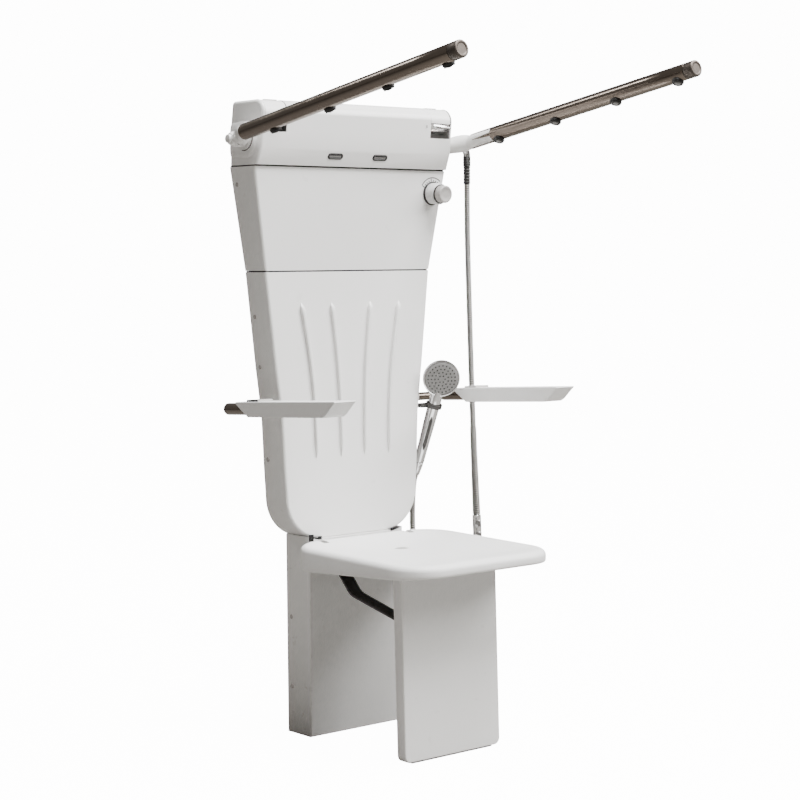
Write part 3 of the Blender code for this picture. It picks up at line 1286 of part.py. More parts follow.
def build_handset():
    """The handset with its spray face and hose nut, and the fixed holder ring."""
    top, foot, upward = handle_line()
    facing = Vector(HANDSET_FACING).normalized()
    half = HANDSET_DEPTH / 2
    rim = HANDSET_RADIUS
    profile = [(-half, rim * 0.62), (-half * 0.8, rim * 0.80), (-half * 0.35, rim * 0.95),
               (half * 0.2, rim), (half - 0.0015, rim), (half, rim - 0.0015)]
    body = place("handset_body", turned(profile, top, facing, 28), CHROME, HANDSET_FOOT)
    length = (top - foot).length
    shares = (0.0, 0.25, 0.55, 0.80, 0.93)
    radii = [HANDLE_FOOT, HANDLE_FOOT + 0.0006, HANDLE_TOP - 0.0008, HANDLE_TOP,
             HANDSET_DEPTH * 0.44]
    route = [foot + upward * length * share for share in shares]
    add(body, "handle", sweep(route, radii))
    recess = FACE_RADIUS + GAP
    cut(body, "face_recess", rod(top + facing * (half - 0.0035), top + facing * (half + 0.01),
                                 recess, 28))
    cut(body, "water_chamber", turned([(half - 0.008, recess - 0.008), (half, recess - 0.005)],
                                      top, facing, 28))
    cut(body, "water_way", rod(foot - upward * 0.01, foot + upward * length * 0.9,
                               HOSE_BORE + 0.0006, SMALL_ROUND))
    face = turned([(half - 0.0035 + GAP, FACE_RADIUS), (half - 0.0008, FACE_RADIUS),
                   (half + 0.0004, FACE_RADIUS - 0.0015), (half + 0.0016, FACE_RADIUS * 0.5)],
                  top, facing, 28)
    place("handset_spray_face", face, GREY, HANDSET_FOOT)
    nut = [(GAP, HOSE_BORE + 0.0006), (GAP, NUT_RADIUS), (NUT_LENGTH * 0.3, NUT_RADIUS),
           (NUT_LENGTH, HOSE_RADIUS + 0.0008), (NUT_LENGTH, HOSE_BORE + 0.0006)]
    place("hose_nut", turned(nut, foot, -upward, hollow=True), CHROME, HANDSET_FOOT)

    centre = foot + upward * length * HOLDER_AT
    bore = HANDLE_TOP + HOLDER_PLAY
    outer = bore + HOLDER_WALL
    reach = upward * HOLDER_HEIGHT / 2
    rear = centre.y + outer + 0.006
    wall = back_side(centre.z + HOLDER_HEIGHT / 2, rear) + GAP
    arm = box((wall, centre.y + 0.003, centre.z - HOLDER_HEIGHT / 2),
              (centre.x, rear, centre.z + HOLDER_HEIGHT / 2))
    holder = place("handset_holder", arm, DARK_GREY)
    add(holder, "holder_ring", rod(centre - reach, centre + reach, outer))
    cut(holder, "holder_bore", rod(centre - reach * 3, centre + reach * 3, bore))


def hose_route():
    """The hose's run, by points chosen by hand, from the outlet down and up to the nut."""
    _, foot, upward = handle_line()
    nut_end = foot - upward * (NUT_LENGTH + GAP)
    straight = nut_end - upward * 2 * HOSE_RADIUS
    points = [(OUTLET_X, ARM_PIVOT_Y, OUTLET_FOOT - GAP),
              (OUTLET_X, ARM_PIVOT_Y, OUTLET_FOOT - GAP - 2 * HOSE_RADIUS)]
    points += [(OUTLET_X, y, z) for y, z in ((-0.0560, 1.06), (-0.0610, 0.90), (-0.0670, 0.74),
                                             (-0.0740, 0.58), (-0.0810, 0.45), (-0.0850, 0.37))]
    points += [(0.3440, -0.0860, 0.290), (0.3370, -0.0810, 0.228), (0.3180, -0.0710, 0.181),
               (0.2890, -0.0590, 0.160), (0.2580, -0.0470, 0.164), (0.2330, -0.0370, 0.191),
               (0.2190, -0.0290, 0.238), (0.2140, -0.0225, 0.300), (0.2122, -0.0175, 0.370),
               (0.2120, -0.0155, 0.435), (0.2125, -0.0168, 0.480)]
    points += [tuple(straight), tuple(nut_end)]
    return points


def smoothed(points, spacing):
    """Return even points on a smooth line through the given points."""
    points = [Vector(point) for point in points]
    fine = []
    for k in range(len(points) - 1):
        before = points[k - 1] if k else points[0] * 2 - points[1]
        start = points[k]
        end = points[k + 1]
        after = points[k + 2] if k + 2 < len(points) else points[-1] * 2 - points[-2]
        span = (end - start).length
        leave = (end - before) * (span / (end - before).length)
        arrive = (after - start) * (span / (after - start).length)
        for step in range(24):
            t = step / 24
            fine.append((2 * t ** 3 - 3 * t ** 2 + 1) * start + (t ** 3 - 2 * t ** 2 + t) * leave
                        + (3 * t ** 2 - 2 * t ** 3) * end + (t ** 3 - t ** 2) * arrive)
    fine.append(points[-1])
    lengths = [0.0]
    for k in range(1, len(fine)):
        lengths.append(lengths[-1] + (fine[k] - fine[k - 1]).length)
    count = round(lengths[-1] / spacing)
    even = []
    at = 0
    for k in range(count + 1):
        want = lengths[-1] * k / count
        while at < len(fine) - 2 and lengths[at + 1] < want:
            at += 1
        share = (want - lengths[at]) / (lengths[at + 1] - lengths[at])
        even.append(fine[at].lerp(fine[at + 1], min(share, 1.0)))
    return even, lengths[-1]


def least_gap(line, radius):
    """Least free distance between two parts of a line well apart along its run."""
    apart = round(8 * radius / (line[1] - line[0]).length)
    gap = 1.0
    for k in range(len(line)):
        for other in range(k + apart, len(line)):
            gap = min(gap, (line[k] - line[other]).length - 2 * radius)
    return gap


def build_hose():
    """The ribbed hose with its bore, and the ferrule on it."""
    _, length = smoothed(hose_route(), 0.05)
    line, _ = smoothed(hose_route(), length / (2 * HOSE_RIBS))
    count = len(line)
    radii = [HOSE_RADIUS - HOSE_RIB_DEPTH * (k % 2) for k in range(count)]
    hose = place("shower_hose", sweep(line, radii, sides=8), CHROME)
    plain, _ = smoothed(hose_route(), 0.025)
    plain[0] += (plain[0] - plain[1]).normalized() * 0.002
    plain[-1] += (plain[-1] - plain[-2]).normalized() * 0.002
    cut(hose, "hose_bore", sweep(plain, HOSE_BORE, sides=8))
    print(f"hose length {length:.3f} m, least gap to itself {least_gap(line, HOSE_RADIUS):.4f} m")
    ends = [next(point for point in line if point.z <= z) for z in (FERRULE_FROM, FERRULE_TO)]
    place("hose_ferrule", sleeve(*ends, FERRULE_RADIUS, HOSE_RADIUS + 2 * GAP), CHROME)


def build():
    """Clear the scene and make every piece."""
    for item in list(bpy.data.objects):
        bpy.data.objects.remove(item, do_unlink=True)
    build_covers()
    build_rinse_outlets()
    build_frame()
    build_plumbing()
    build_dials()
    build_shoulder_nozzles()
    build_bracket()
    build_seat()
    build_leg()
    for side, name in ((-1, "left"), (1, "right")):
        build_arm(side, name)
        build_armrest(side, name)
        build_brace(side, name)
    build_handset()
    build_hose()


build()
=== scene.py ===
"""Looks of the wall-mounted shower seat: its fine pieces, finishes, light and camera.

Metres, +Z up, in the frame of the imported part: the wall is at y = 0 and -Y faces the room.
"""

from math import atan2, copysign, cos, pi, radians, sin

import bmesh
import bpy
from mathutils import Matrix, Vector


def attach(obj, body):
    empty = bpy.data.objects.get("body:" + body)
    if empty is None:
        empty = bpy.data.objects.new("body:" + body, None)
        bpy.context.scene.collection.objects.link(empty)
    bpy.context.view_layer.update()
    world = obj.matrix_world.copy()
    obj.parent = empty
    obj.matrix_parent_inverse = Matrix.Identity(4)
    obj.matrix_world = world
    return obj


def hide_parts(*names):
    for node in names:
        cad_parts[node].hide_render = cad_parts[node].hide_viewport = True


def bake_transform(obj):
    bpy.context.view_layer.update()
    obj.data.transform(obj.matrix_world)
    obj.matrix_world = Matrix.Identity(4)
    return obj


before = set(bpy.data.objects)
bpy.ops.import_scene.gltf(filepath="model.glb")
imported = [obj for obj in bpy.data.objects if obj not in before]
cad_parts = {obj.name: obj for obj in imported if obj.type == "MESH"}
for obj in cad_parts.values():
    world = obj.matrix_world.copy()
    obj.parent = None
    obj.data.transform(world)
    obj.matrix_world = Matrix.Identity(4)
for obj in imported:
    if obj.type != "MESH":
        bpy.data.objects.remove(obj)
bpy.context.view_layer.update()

# Camera of the photograph

EYE = (-2.59598, -3.32968, 1.00774)
YAW = 0.69696
PITCH = 0.07192
ROLL = -0.00761
PHOTO_SIDE = 800
FOCAL_IN_PIXELS = 1957.6
SENSOR = 36.0

# Sizes, most of them shared with the solids

GAP = 0.0003
WALL_BACK = -0.0003
SKIN = 0.003
SEAM = 0.003

COLUMN_HALF = 0.128
COLUMN_DEPTH = 0.081
BACK_BOTTOM = 0.42
BACK_CORNER = 0.090
BACK_FRONT_LOW = 0.0728
BACK_FRONT_HIGH = 0.0668
BACK_HALF_LOW = 0.1775
BACK_HALF_MID = 0.1880
BACK_MID_HEIGHT = 0.68
BACK_HALF_HIGH = 0.2222
LOWER_SEAM = 0.984
UPPER_SEAM = 1.200
MIDDLE_HALF_HIGH = 0.2580
MIDDLE_FRONT_HIGH = 0.082
SIDE_DRAFT = 0.003
COLUMN_EDGE = 0.0035
BACK_EDGE = 0.006

HEAD_TOP = 1.333
HEAD_HALF_TOP = 0.2545
HEAD_FRONT_LOW = 0.088
HEAD_FRONT_MID = 0.102
HEAD_FRONT_HIGH = 0.111
HEAD_MID_HEIGHT = 1.236
HEAD_SHOULDER = 0.028
HEAD_EDGE = 0.007
HEAD_REAR_ROUND = 0.008

SEAT_HALF = 0.200
SEAT_REAR = -0.092
SEAT_FRONT = -0.503
SEAT_TOP = 0.415
SEAT_REAR_RISE = 0.0065
SEAT_FOOT_REAR = 0.366
SEAT_FOOT_FRONT = 0.3905
SEAT_CORNER = 0.082
SEAT_DISH = 0.007
SEAT_ROLL = 0.0125
DRAIN_Y = -0.230
DRAIN_SLOT_PITCH = 0.0045
SEAT_PIVOT = (-0.110, 0.398)

LEG_TOP = 0.378
LEG_FRONT_TOP = -0.3803
LEG_FRONT_FOOT = -0.391
LEG_THICK = 0.025
LEG_HALF = 0.128
LEG_FOOT_CORNER = 0.014
LEG_EDGE = 0.003
FOOT_PAD = 0.003
BRACE_REAR = (-0.140, 0.361)
BRACE_BEND = (-0.184, 0.316)
BRACE_FRONT = (-0.351, 0.2778)
BRACE_X = 0.086
BRACE_WIDTH = 0.030
BRACE_THICK = 0.005
BRACE_EYES = (0.0070, 0.0060)
BRACE_BORE = 0.0044
BRACE_BEND_REACH = 0.012

ARM_PIVOT_Y = -0.055
ARM_PIVOT_Z = 1.253
ARM_X = 0.3045
ARM_TILT = radians(9.5)
ARM_RADIUS = 0.0165
ARM_WALL = 0.0018
ARM_LENGTH = 0.7235
ARM_CAP = 0.024
ARM_SLEEVE_OUTER = 0.060
ARM_SLEEVE_INNER = 0.137
SPRAY_STATIONS = (0.156, 0.3318, 0.5076, 0.6765)
SPRAY_ANGLE = radians(68)
HUB_DISC_RADIUS = 0.0305
HUB_DISC_WIDTH = 0.0060
HUB_DISC_LIFT = 0.006
HUB_RADIUS = 0.0165
HUB_END = 0.300
HUB_NOSE = 0.026
HUB_NOSE_DROP = 0.0070
MANIFOLD = 0.0080

ARMREST_X = 0.2935
ARMREST_WIDTH = 0.053
ARMREST_PIVOT_Y = -0.035
ARMREST_PIVOT_Z = 0.7035
ARMREST_TILT = radians(3.0)
ARMREST_BAR = 0.0125
ARMREST_BAR_REAR = 0.010
ARMREST_BAR_FRONT = 0.270
ARMREST_SHAFT = 0.009
BOSS_RADIUS = 0.016
BAR_ROUND = 0.008
PAD_REAR_TOP = 0.058
PAD_REAR_FOOT = 0.098
PAD_TIP_TOP = 0.385
PAD_TIP_FOOT = 0.344
PAD_RISE = 0.0155
PAD_THICK = 0.031
PAD_EDGE = 0.0045
BUMPER_FROM = 0.086
BUMPER_TO = 0.126
BUMPER_RISE = 0.0040
BUMPER_INSET = 0.008
BUMPER_LIP = 0.0060

DIAL_X = 0.2215
DIAL_Z = 1.150
DIAL_RADIUS = 0.023
DIAL_LENGTH = 0.025
CAP_RADIUS = 0.0190
CAP_LENGTH = 0.0165
DIAL_SPLIT = 0.0024
TICKS = 9
TICK_FROM = 46
TICK_STEP = 13
TICK_GAP = 0.0035
TICK_HALF_WIDTH = 0.0011
TICK_LONG = 0.0060
TICK_SHORT = 0.0026
SCALE_ARC = (50, 150)
SCALE_ARC_RADII = (0.0332, 0.0352)
MARK_LEVELS = (-0.0004, 0.00025)

RINSE_X = 0.060
RINSE_Z = 1.222
RINSE_LENGTH = 0.040
RINSE_HEIGHT = 0.0135
SHOULDER_FROM = 0.193
SHOULDER_TO = 0.249
SHOULDER_FOOT = 1.262
SHOULDER_RADIUS = 0.0270
SHOULDER_PLAY = 0.0015
POCKET_LIFT = 0.0055
TAB_REACH = 0.0085
TAB_DROP = 0.0165
TAB_THICK = 0.0042

HANDSET_TOP = Vector((0.2254, -0.100, 0.747))
HANDSET_FOOT = Vector((0.2155, -0.035, 0.558))
HANDSET_FACING = Vector((-0.528, -0.822, -0.208)).normalized()
HANDSET_RADIUS = 0.041
HANDSET_DEPTH = 0.020
FACE_RADIUS = 0.0365
HANDLE_TOP = 0.0140
HANDLE_FOOT = 0.0112
NUT_LENGTH = 0.030
NUT_RADIUS = 0.0105
HOLDER_AT = 0.70
HOLDER_WALL = 0.0030
HOLDER_PLAY = 0.0012
HOLDER_HEIGHT = 0.018

HOSE_RADIUS = 0.0070
HOSE_RIB_SPACING = 0.0048
HOSE_RIB_DEPTH = 0.0016
HOSE_RIB = (1.0, 0.62, 0.0, 0.62)
OUTLET_X = 0.345
OUTLET_FOOT = 1.213
FERRULE_FROM = 0.382
FERRULE_TO = 0.432
FERRULE_RADIUS = 0.0098
GUARD_TOP = 0.630
GUARD_FOOT = 0.0078
GUARD_FLARE = 0.0017
ELBOW_TURN = 0.016
ELBOW_RADIUS = 0.0078

ROUND = 56
SIDES = ((-1, "left"), (1, "right"))

# Finishes


def new_group(name, inputs, outputs):
    """Start a shader node group with named sockets."""
    tree = bpy.data.node_groups.new(name, "ShaderNodeTree")
    kinds = {float: "NodeSocketFloat", tuple: "NodeSocketColor"}
    for label, value in inputs.items():
        socket = tree.interface.new_socket(label, in_out="INPUT", socket_type=kinds[type(value)])
        socket.default_value = value
    for label, kind in outputs.items():
        tree.interface.new_socket(label, in_out="OUTPUT", socket_type=kinds[kind])
    return tree, tree.nodes.new("NodeGroupInput"), tree.nodes.new("NodeGroupOutput")


def feed(tree, socket, value):
    """Link a socket to what another node puts out, or set it to a plain value."""
    if isinstance(value, bpy.types.NodeSocket):
        tree.links.new(value, socket)
    else:
        socket.default_value = value


def node(tree, kind, **sockets):
    """Add a node and feed its sockets by name."""
    made = tree.nodes.new(kind)
    for label, value in sockets.items():
        feed(tree, made.inputs[label.replace("_", " ")], value)
    return made


def place_on(tree):
    return tree.nodes.new("ShaderNodeTexCoord").outputs["Object"]


def noise(tree, place, scale, detail=2.0, roughness=0.5):
    return node(tree, "ShaderNodeTexNoise", Vector=place, Scale=scale, Detail=detail,
                Roughness=roughness).outputs["Fac"]


def spread(tree, value, low, high, to_low, to_high):
    """Map a value from one range to another, held at the ends."""
    return node(tree, "ShaderNodeMapRange", Value=value, From_Min=low, From_Max=high,
                To_Min=to_low, To_Max=to_high).outputs["Result"]


def mixed(tree, share, first, second):
    made = tree.nodes.new("ShaderNodeMix")
    made.data_type = "RGBA"
    for index, value in ((0, share), (6, first), (7, second)):
        feed(tree, made.inputs[index], value)
    return made.outputs[2]


def sums(tree, operation, first, second):
    made = tree.nodes.new("ShaderNodeMath")
    made.operation = operation
    for socket, value in zip(made.inputs, (first, second)):
        feed(tree, socket, value)
    return made.outputs[0]


def surface_group(name, **own):
    """Start a surface: two tints, a roughness that wanders, and what is its own."""
    inputs = {"Colour": (0.8, 0.8, 0.8, 1.0), "Shade": (0.7, 0.7, 0.7, 1.0), **own,
              "Rough": 0.3, "Wander": 0.05}
    return new_group(name, inputs, {"Colour": tuple, "Rough": float, "Height": float})


def put_out(tree, given, out, tint, cloud, height):
    """End a surface: mix its tints, let a cloud move its roughness, and pass on a height."""
    wander = spread(tree, cloud, 0.3, 0.7, -1.0, 1.0)
    rough = sums(tree, "ADD", given.outputs["Rough"],
                 sums(tree, "MULTIPLY", wander, given.outputs["Wander"]))
    colour = mixed(tree, tint, given.outputs["Colour"], given.outputs["Shade"])
    for label, value in (("Colour", colour), ("Rough", rough), ("Height", height)):
        feed(tree, out.inputs[label], value)
    return tree


def moulded_group():
    """Moulded plastic: a cloudy tint, a fine grain and a roughness that wanders a little."""
    tree, given, out = surface_group("moulded_plastic", Grain=700.0)
    place = place_on(tree)
    clouds = spread(tree, noise(tree, place, 5.0, 3.0), 0.35, 0.68, 0.0, 1.0)
    grain = noise(tree, place, given.outputs["Grain"], 2.0, 0.6)
    return put_out(tree, given, out, clouds, noise(tree, place, 26.0, 4.0, 0.6), grain)


def drops_group():
    """Dried water drops: a mask of faint rounded spots of several sizes."""
    tree, given, out = new_group("dried_drops", {"Size": 160.0, "Amount": 0.3}, {"Mask": float})
    place = place_on(tree)
    cells = node(tree, "ShaderNodeTexVoronoi", Vector=place, Scale=given.outputs["Size"])
    ring = spread(tree, cells.outputs["Distance"], 0.16, 0.24, 1.0, 0.0)
    where = spread(tree, noise(tree, place, 9.0, 3.0), 0.48, 0.62, 0.0, 1.0)
    mask = sums(tree, "MULTIPLY", sums(tree, "MULTIPLY", ring, where), given.outputs["Amount"])
    tree.links.new(mask, out.inputs["Mask"])
    return tree


def drawn_group():
    """Drawn metal: fine lines along one axis, in height, tint and roughness."""
    tree, given, out = surface_group("drawn_metal", Across=900.0, Along=12.0)
    place = place_on(tree)
    size = node(tree, "ShaderNodeCombineXYZ", X=given.outputs["Across"],
                Y=given.outputs["Along"], Z=given.outputs["Across"])
    stretch = tree.nodes.new("ShaderNodeVectorMath")
    stretch.operation = "MULTIPLY"
    for socket, value in zip(stretch.inputs, (place, size.outputs["Vector"])):
        feed(tree, socket, value)
    lines = noise(tree, stretch.outputs["Vector"], 1.0, 3.0, 0.6)
    tint = spread(tree, lines, 0.3, 0.7, 0.0, 1.0)
    return put_out(tree, given, out, tint, noise(tree, place, 40.0, 3.0), lines)


MOULDED = moulded_group()
DROPS = drops_group()
DRAWN = drawn_group()

DROP_SIZE = 170.0
COAT_ROUGHNESS = 0.12
BUMP_DEPTH = 0.0004


def finish(name, group, values, metallic=0.0, bump=0.1, drops=0.0, coat=0.0):
    """A material: one surface group, dried drops on its roughness, and a fine bump."""
    look = bpy.data.materials.new(name)
    look.use_nodes = True
    tree = look.node_tree
    shader = tree.nodes["Principled BSDF"]
    surface = tree.nodes.new("ShaderNodeGroup")
    surface.node_tree = group
    for label, value in values.items():
        surface.inputs[label].default_value = value
    spots = tree.nodes.new("ShaderNodeGroup")
    spots.node_tree = DROPS
    spots.inputs["Size"].default_value = DROP_SIZE
    spots.inputs["Amount"].default_value = drops
    relief = node(tree, "ShaderNodeBump", Strength=bump, Distance=BUMP_DEPTH,
                  Height=surface.outputs["Height"])
    rough = sums(tree, "ADD", surface.outputs["Rough"], spots.outputs["Mask"])
    for label, value in (("Metallic", metallic), ("Coat Weight", coat),
                         ("Coat Roughness", COAT_ROUGHNESS), ("Roughness", rough),
                         ("Base Color", surface.outputs["Colour"]),
                         ("Normal", relief.outputs["Normal"])):
        feed(tree, shader.inputs[label], value)
    return look


def plastic(name, colour, shade, rough, grain=700.0, bump=0.1, wander=0.05, **more):
    return finish(name, MOULDED, {"Colour": (*colour, 1.0), "Shade": (*shade, 1.0),
                                  "Grain": grain, "Rough": rough, "Wander": wander},
                  bump=bump, **more)


def metal(name, colour, shade, rough, across=900.0, along=12.0, bump=0.1, wander=0.05, **more):
    return finish(name, DRAWN, {"Colour": (*colour, 1.0), "Shade": (*shade, 1.0),
                                "Across": across, "Along": along, "Rough": rough,
                                "Wander": wander},
                  metallic=1.0, bump=bump, **more)


WHITE_GLOSS = plastic("white_gloss_cover", (0.86, 0.855, 0.845), (0.84, 0.835, 0.825), 0.30,
                      bump=0.04, wander=0.03, drops=0.05, coat=0.25)
WHITE_SATIN = plastic("white_satin_seat", (0.87, 0.868, 0.86), (0.85, 0.848, 0.84), 0.46,
                      grain=1400.0, bump=0.22, wander=0.04)
WHITE_PAD = plastic("white_armrest_pad", (0.86, 0.855, 0.85), (0.84, 0.835, 0.83), 0.42,
                    grain=1200.0, bump=0.16, wander=0.04)
BRONZE = metal("bronze_anodised", (0.205, 0.172, 0.147), (0.178, 0.149, 0.127), 0.22, bump=0.12,
               drops=0.06)
BRONZE_CAP = metal("bronze_end_cap", (0.125, 0.108, 0.096), (0.105, 0.09, 0.08), 0.5,
                   across=400.0, along=400.0, bump=0.08)
BLACK_PLASTIC = plastic("black_plastic", (0.010, 0.0095, 0.009), (0.016, 0.015, 0.0145), 0.42,
                        grain=1600.0, bump=0.25)
BLACK_STEEL = plastic("black_coated_steel", (0.016, 0.012, 0.011), (0.026, 0.02, 0.018), 0.5,
                      grain=1900.0, bump=0.4, wander=0.08)
CHROME = metal("chrome", (0.80, 0.80, 0.805), (0.74, 0.74, 0.745), 0.09, across=500.0,
               along=500.0, bump=0.02, wander=0.03, drops=0.18)
HOSE_CHROME = metal("hose_steel", (0.30, 0.292, 0.28), (0.20, 0.193, 0.185), 0.36,
                    across=700.0, along=700.0, bump=0.1, drops=0.1)
STEEL = metal("bare_steel", (0.60, 0.60, 0.59), (0.50, 0.50, 0.49), 0.36, bump=0.2)
SHEET_STEEL = metal("galvanised_sheet", (0.56, 0.57, 0.57), (0.44, 0.45, 0.46), 0.42,
                    across=60.0, along=60.0, bump=0.15, wander=0.12)
BRASS = metal("turned_brass", (0.68, 0.52, 0.26), (0.58, 0.43, 0.20), 0.34, across=500.0,
              along=30.0, bump=0.2)
DIAL_GREY = plastic("dial_white_grey", (0.66, 0.655, 0.65), (0.62, 0.615, 0.61), 0.30,
                    bump=0.05, coat=0.2)
CAP_GREY = plastic("dial_cap_warm_grey", (0.44, 0.425, 0.41), (0.40, 0.385, 0.37), 0.42,
                   grain=1500.0, bump=0.18)
FACE_GREY = plastic("spray_face_grey", (0.25, 0.245, 0.24), (0.21, 0.206, 0.20), 0.42,
                    grain=1500.0, bump=0.12)
DOME_GREY = plastic("spray_dome_grey", (0.30, 0.30, 0.30), (0.24, 0.24, 0.24), 0.34, bump=0.1)
DARK_GREY = plastic("dark_grey_plastic", (0.045, 0.043, 0.041), (0.06, 0.058, 0.055), 0.45,
                    grain=1500.0, bump=0.2)
RUBBER = plastic("black_rubber", (0.03, 0.03, 0.03), (0.045, 0.044, 0.043), 0.85, grain=1300.0,
                 bump=0.5, wander=0.06)
INSERT_GREY = plastic("rinse_insert_grey", (0.27, 0.265, 0.26), (0.23, 0.225, 0.22), 0.45,
                      bump=0.08)
# Near-black, rough paint for painted shade in gaps and hollows, so that no lamp shows in it
PAINTED_GAP_SHADE = plastic("painted_gap_shade_black", (0.004, 0.004, 0.004), (0.006, 0.006, 0.006), 0.9,
                    bump=0.05)
# Painted shade: a grey-brown for the seat bracket, the tone of the white column in the seat's
# shadow
BRACKET_SHADE_GREY = plastic("bracket_painted_shade", (0.30, 0.275, 0.255), (0.27, 0.25, 0.23), 0.6,
                        grain=1500.0, bump=0.15)
MARK_GREY = plastic("printed_mark_grey", (0.025, 0.025, 0.025), (0.035, 0.035, 0.035), 0.6,
                    bump=0.05)

# Shapes


def loft(rings, wrap=False):
    """Join rings of equal length; close both ends unless the last ring meets the first."""
    body = bmesh.new()
    rows = [[body.verts.new(point) for point in ring] for ring in rings]
    count = len(rows[0])
    for index in range(len(rows) if wrap else len(rows) - 1):
        here = rows[index]
        there = rows[(index + 1) % len(rows)]
        for k in range(count):
            after = (k + 1) % count
            body.faces.new((here[k], here[after], there[after], there[k]))
    if not wrap:
        body.faces.new(rows[0])
        body.faces.new(rows[-1])
    bmesh.ops.recalc_face_normals(body, faces=body.faces)
    return body


def strip_loft(lines):
    """Close a bar from four lines of points that run side by side."""
    return loft([[line[k] for line in lines] for k in range(len(lines[0]))])


def slab(outline, axis, low, high):
    """Extrude an outline along an axis; its points are the two other coordinates in order."""
    order = {"x": lambda a, b, v: (v, a, b), "y": lambda a, b, v: (a, v, b),
             "z": lambda a, b, v: (a, b, v)}[axis]
    return loft([[order(a, b, value) for a, b in outline] for value in (low, high)])


def block(low, high):
    outline = [(low[0], low[1]), (high[0], low[1]), (high[0], high[1]), (low[0], high[1])]
    return slab(outline, "z", low[2], high[2])


def square_to(direction):
    """Two directions square to a given one and to each other."""
    helper = Vector((0, 0, 1)) if abs(direction.z) < 0.9 else Vector((0, 1, 0))
    first = direction.cross(helper).normalized()
    return first, direction.cross(first).normalized()


def circle(centre, direction, radius, sides=ROUND):
    first, second = square_to(direction)
    turns = [2 * pi * k / sides for k in range(sides)]
    return [centre + radius * (cos(turn) * first + sin(turn) * second) for turn in turns]


def lathe(profile, foot, direction, sides=ROUND, wrap=False):
    """Turn (along, radius) pairs about an axis that starts at a foot."""
    direction = Vector(direction).normalized()
    foot = Vector(foot)
    return loft([circle(foot + along * direction, direction, radius, sides)
                 for along, radius in profile], wrap)


def rod(start, end, radius, sides=ROUND):
    line = Vector(end) - Vector(start)
    return lathe([(0, radius), (line.length, radius)], start, line, sides)


def rolled(end, radius, edge):
    """The rolled rim of a turned piece that ends at a length, for its lathe profile."""
    return [(end - edge + edge * sin(turn), radius - edge + edge * cos(turn))
            for turn in (0.0, 0.35, 0.7, 1.05, 1.4)]


def sweep(route, radii, sides=ROUND):
    """Sweep a round section along a route, with one radius or a radius at each point."""
    points = [Vector(point) for point in route]
    last = len(points) - 1
    radii = radii if isinstance(radii, (list, tuple)) else [radii] * len(points)
    first = None
    rings = []
    for k, point in enumerate(points):
        heading = (points[min(k + 1, last)] - points[max(k - 1, 0)]).normalized()
        first = square_to(heading)[0] if first is None else first
        first = (first - heading * first.dot(heading)).normalized()
        second = heading.cross(first)
        turns = [2 * pi * n / sides for n in range(sides)]
        rings.append([point + radii[k] * (cos(turn) * first + sin(turn) * second)
                      for turn in turns])
    return loft(rings)


def arc(centre, radius, start, end, steps):
    turns = [radians(start + (end - start) * k / steps) for k in range(steps + 1)]
    return [(centre[0] + radius * cos(turn), centre[1] + radius * sin(turn)) for turn in turns]


def oval(half_x, half_y, radius, steps, centre=(0.0, 0.0)):
    """A rectangle with round corners."""
    points = []
    for side_x, side_y, start in ((1, 1, 0), (-1, 1, 90), (-1, -1, 180), (1, -1, 270)):
        corner = (centre[0] + side_x * (half_x - radius), centre[1] + side_y * (half_y - radius))
        points += arc(corner, radius, start, start + 90, steps)
    return points


def on_line(value, low, high):
    """The second coordinate at a value of the first, on the line through two points."""
    share = (value - low[0]) / (high[0] - low[0])
    return low[1] + share * (high[1] - low[1])


def joined(bodies):
    """Several bodies as one mesh, not fused."""
    whole = bmesh.new()
    for body in bodies:
        mesh = bpy.data.meshes.new("part")
        body.to_mesh(mesh)
        body.free()
        whole.from_mesh(mesh)
        bpy.data.meshes.remove(mesh)
    return whole


def flipped(body):
    """A body's mirror twin on the other side of the centre line."""
    bmesh.ops.scale(body, vec=(-1, 1, 1), verts=body.verts)
    bmesh.ops.reverse_faces(body, faces=body.faces)
    return body


def sided(body, side):
    return flipped(body) if side < 0 else body


def in_scene(made):
    bpy.context.scene.collection.objects.link(made)
    return made


def new_piece(name, body, look=None):
    """Turn a body into an object in the scene, smooth and with its look if one is given."""
    mesh = bpy.data.meshes.new(name)
    body.to_mesh(mesh)
    body.free()
    if look:
        mesh.materials.append(look)
        mesh.shade_smooth()
    return in_scene(bpy.data.objects.new(name, mesh))


def tell(made, rider, stands_for):
    """Say which body a piece rides on, which solids it stands for."""
    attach(made, rider)
    if stands_for:
        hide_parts(*stands_for)


def put(name, body, look, rider, stands_for=(), sharp=32):
    """Make a named piece that rides on a body of the part and stands for solids of it."""
    bmesh.ops.recalc_face_normals(body, faces=body.faces)
    made = new_piece(name, body, look)
    if sharp:
        made.data.set_sharp_from_angle(angle=radians(sharp))
    tell(made, rider, stands_for)
    return made


def soften(made, width, segments=3, angle=30, weighted=False):
    """Round the sharp edges of a piece and keep its flat faces flat."""
    bevel = made.modifiers.new("edges", "BEVEL")
    bevel.width = width
    bevel.segments = segments
    bevel.limit_method = "WEIGHT" if weighted else "ANGLE"
    bevel.angle_limit = radians(angle)
    bevel.harden_normals = False


def skin(made, edge):
    """Round the marked edges of an open cover and give it its wall."""
    soften(made, edge, 6, weighted=True)
    wall = made.modifiers.new("skin", "SOLIDIFY")
    wall.thickness = SKIN
    wall.offset = -1
    wall.use_even_offset = True


def even_shading(made):
    made.modifiers.new("shading", "WEIGHTED_NORMAL").keep_sharp = True


def carve(made, name, body, operation="DIFFERENCE"):
    """Cut a piece, or add to it, with a hidden tool that moves with it."""
    bmesh.ops.recalc_face_normals(body, faces=body.faces)
    tool = new_piece(name, body)
    tool.hide_render = True
    tool.hide_viewport = True
    tool.display_type = "WIRE"
    tool.parent = made
    cutter = made.modifiers.new(name, "BOOLEAN")
    cutter.operation = operation
    cutter.solver = "EXACT"
    cutter.object = tool


def turn_out(body, axis, outward):
    """Turn an open cover's faces over where they look the wrong way along an axis."""
    body.normal_update()
    looks_to = sum((face.normal[axis] * face.calc_area() for face in body.faces), 0.0)
    if looks_to * outward < 0:
        bmesh.ops.reverse_faces(body, faces=body.faces)


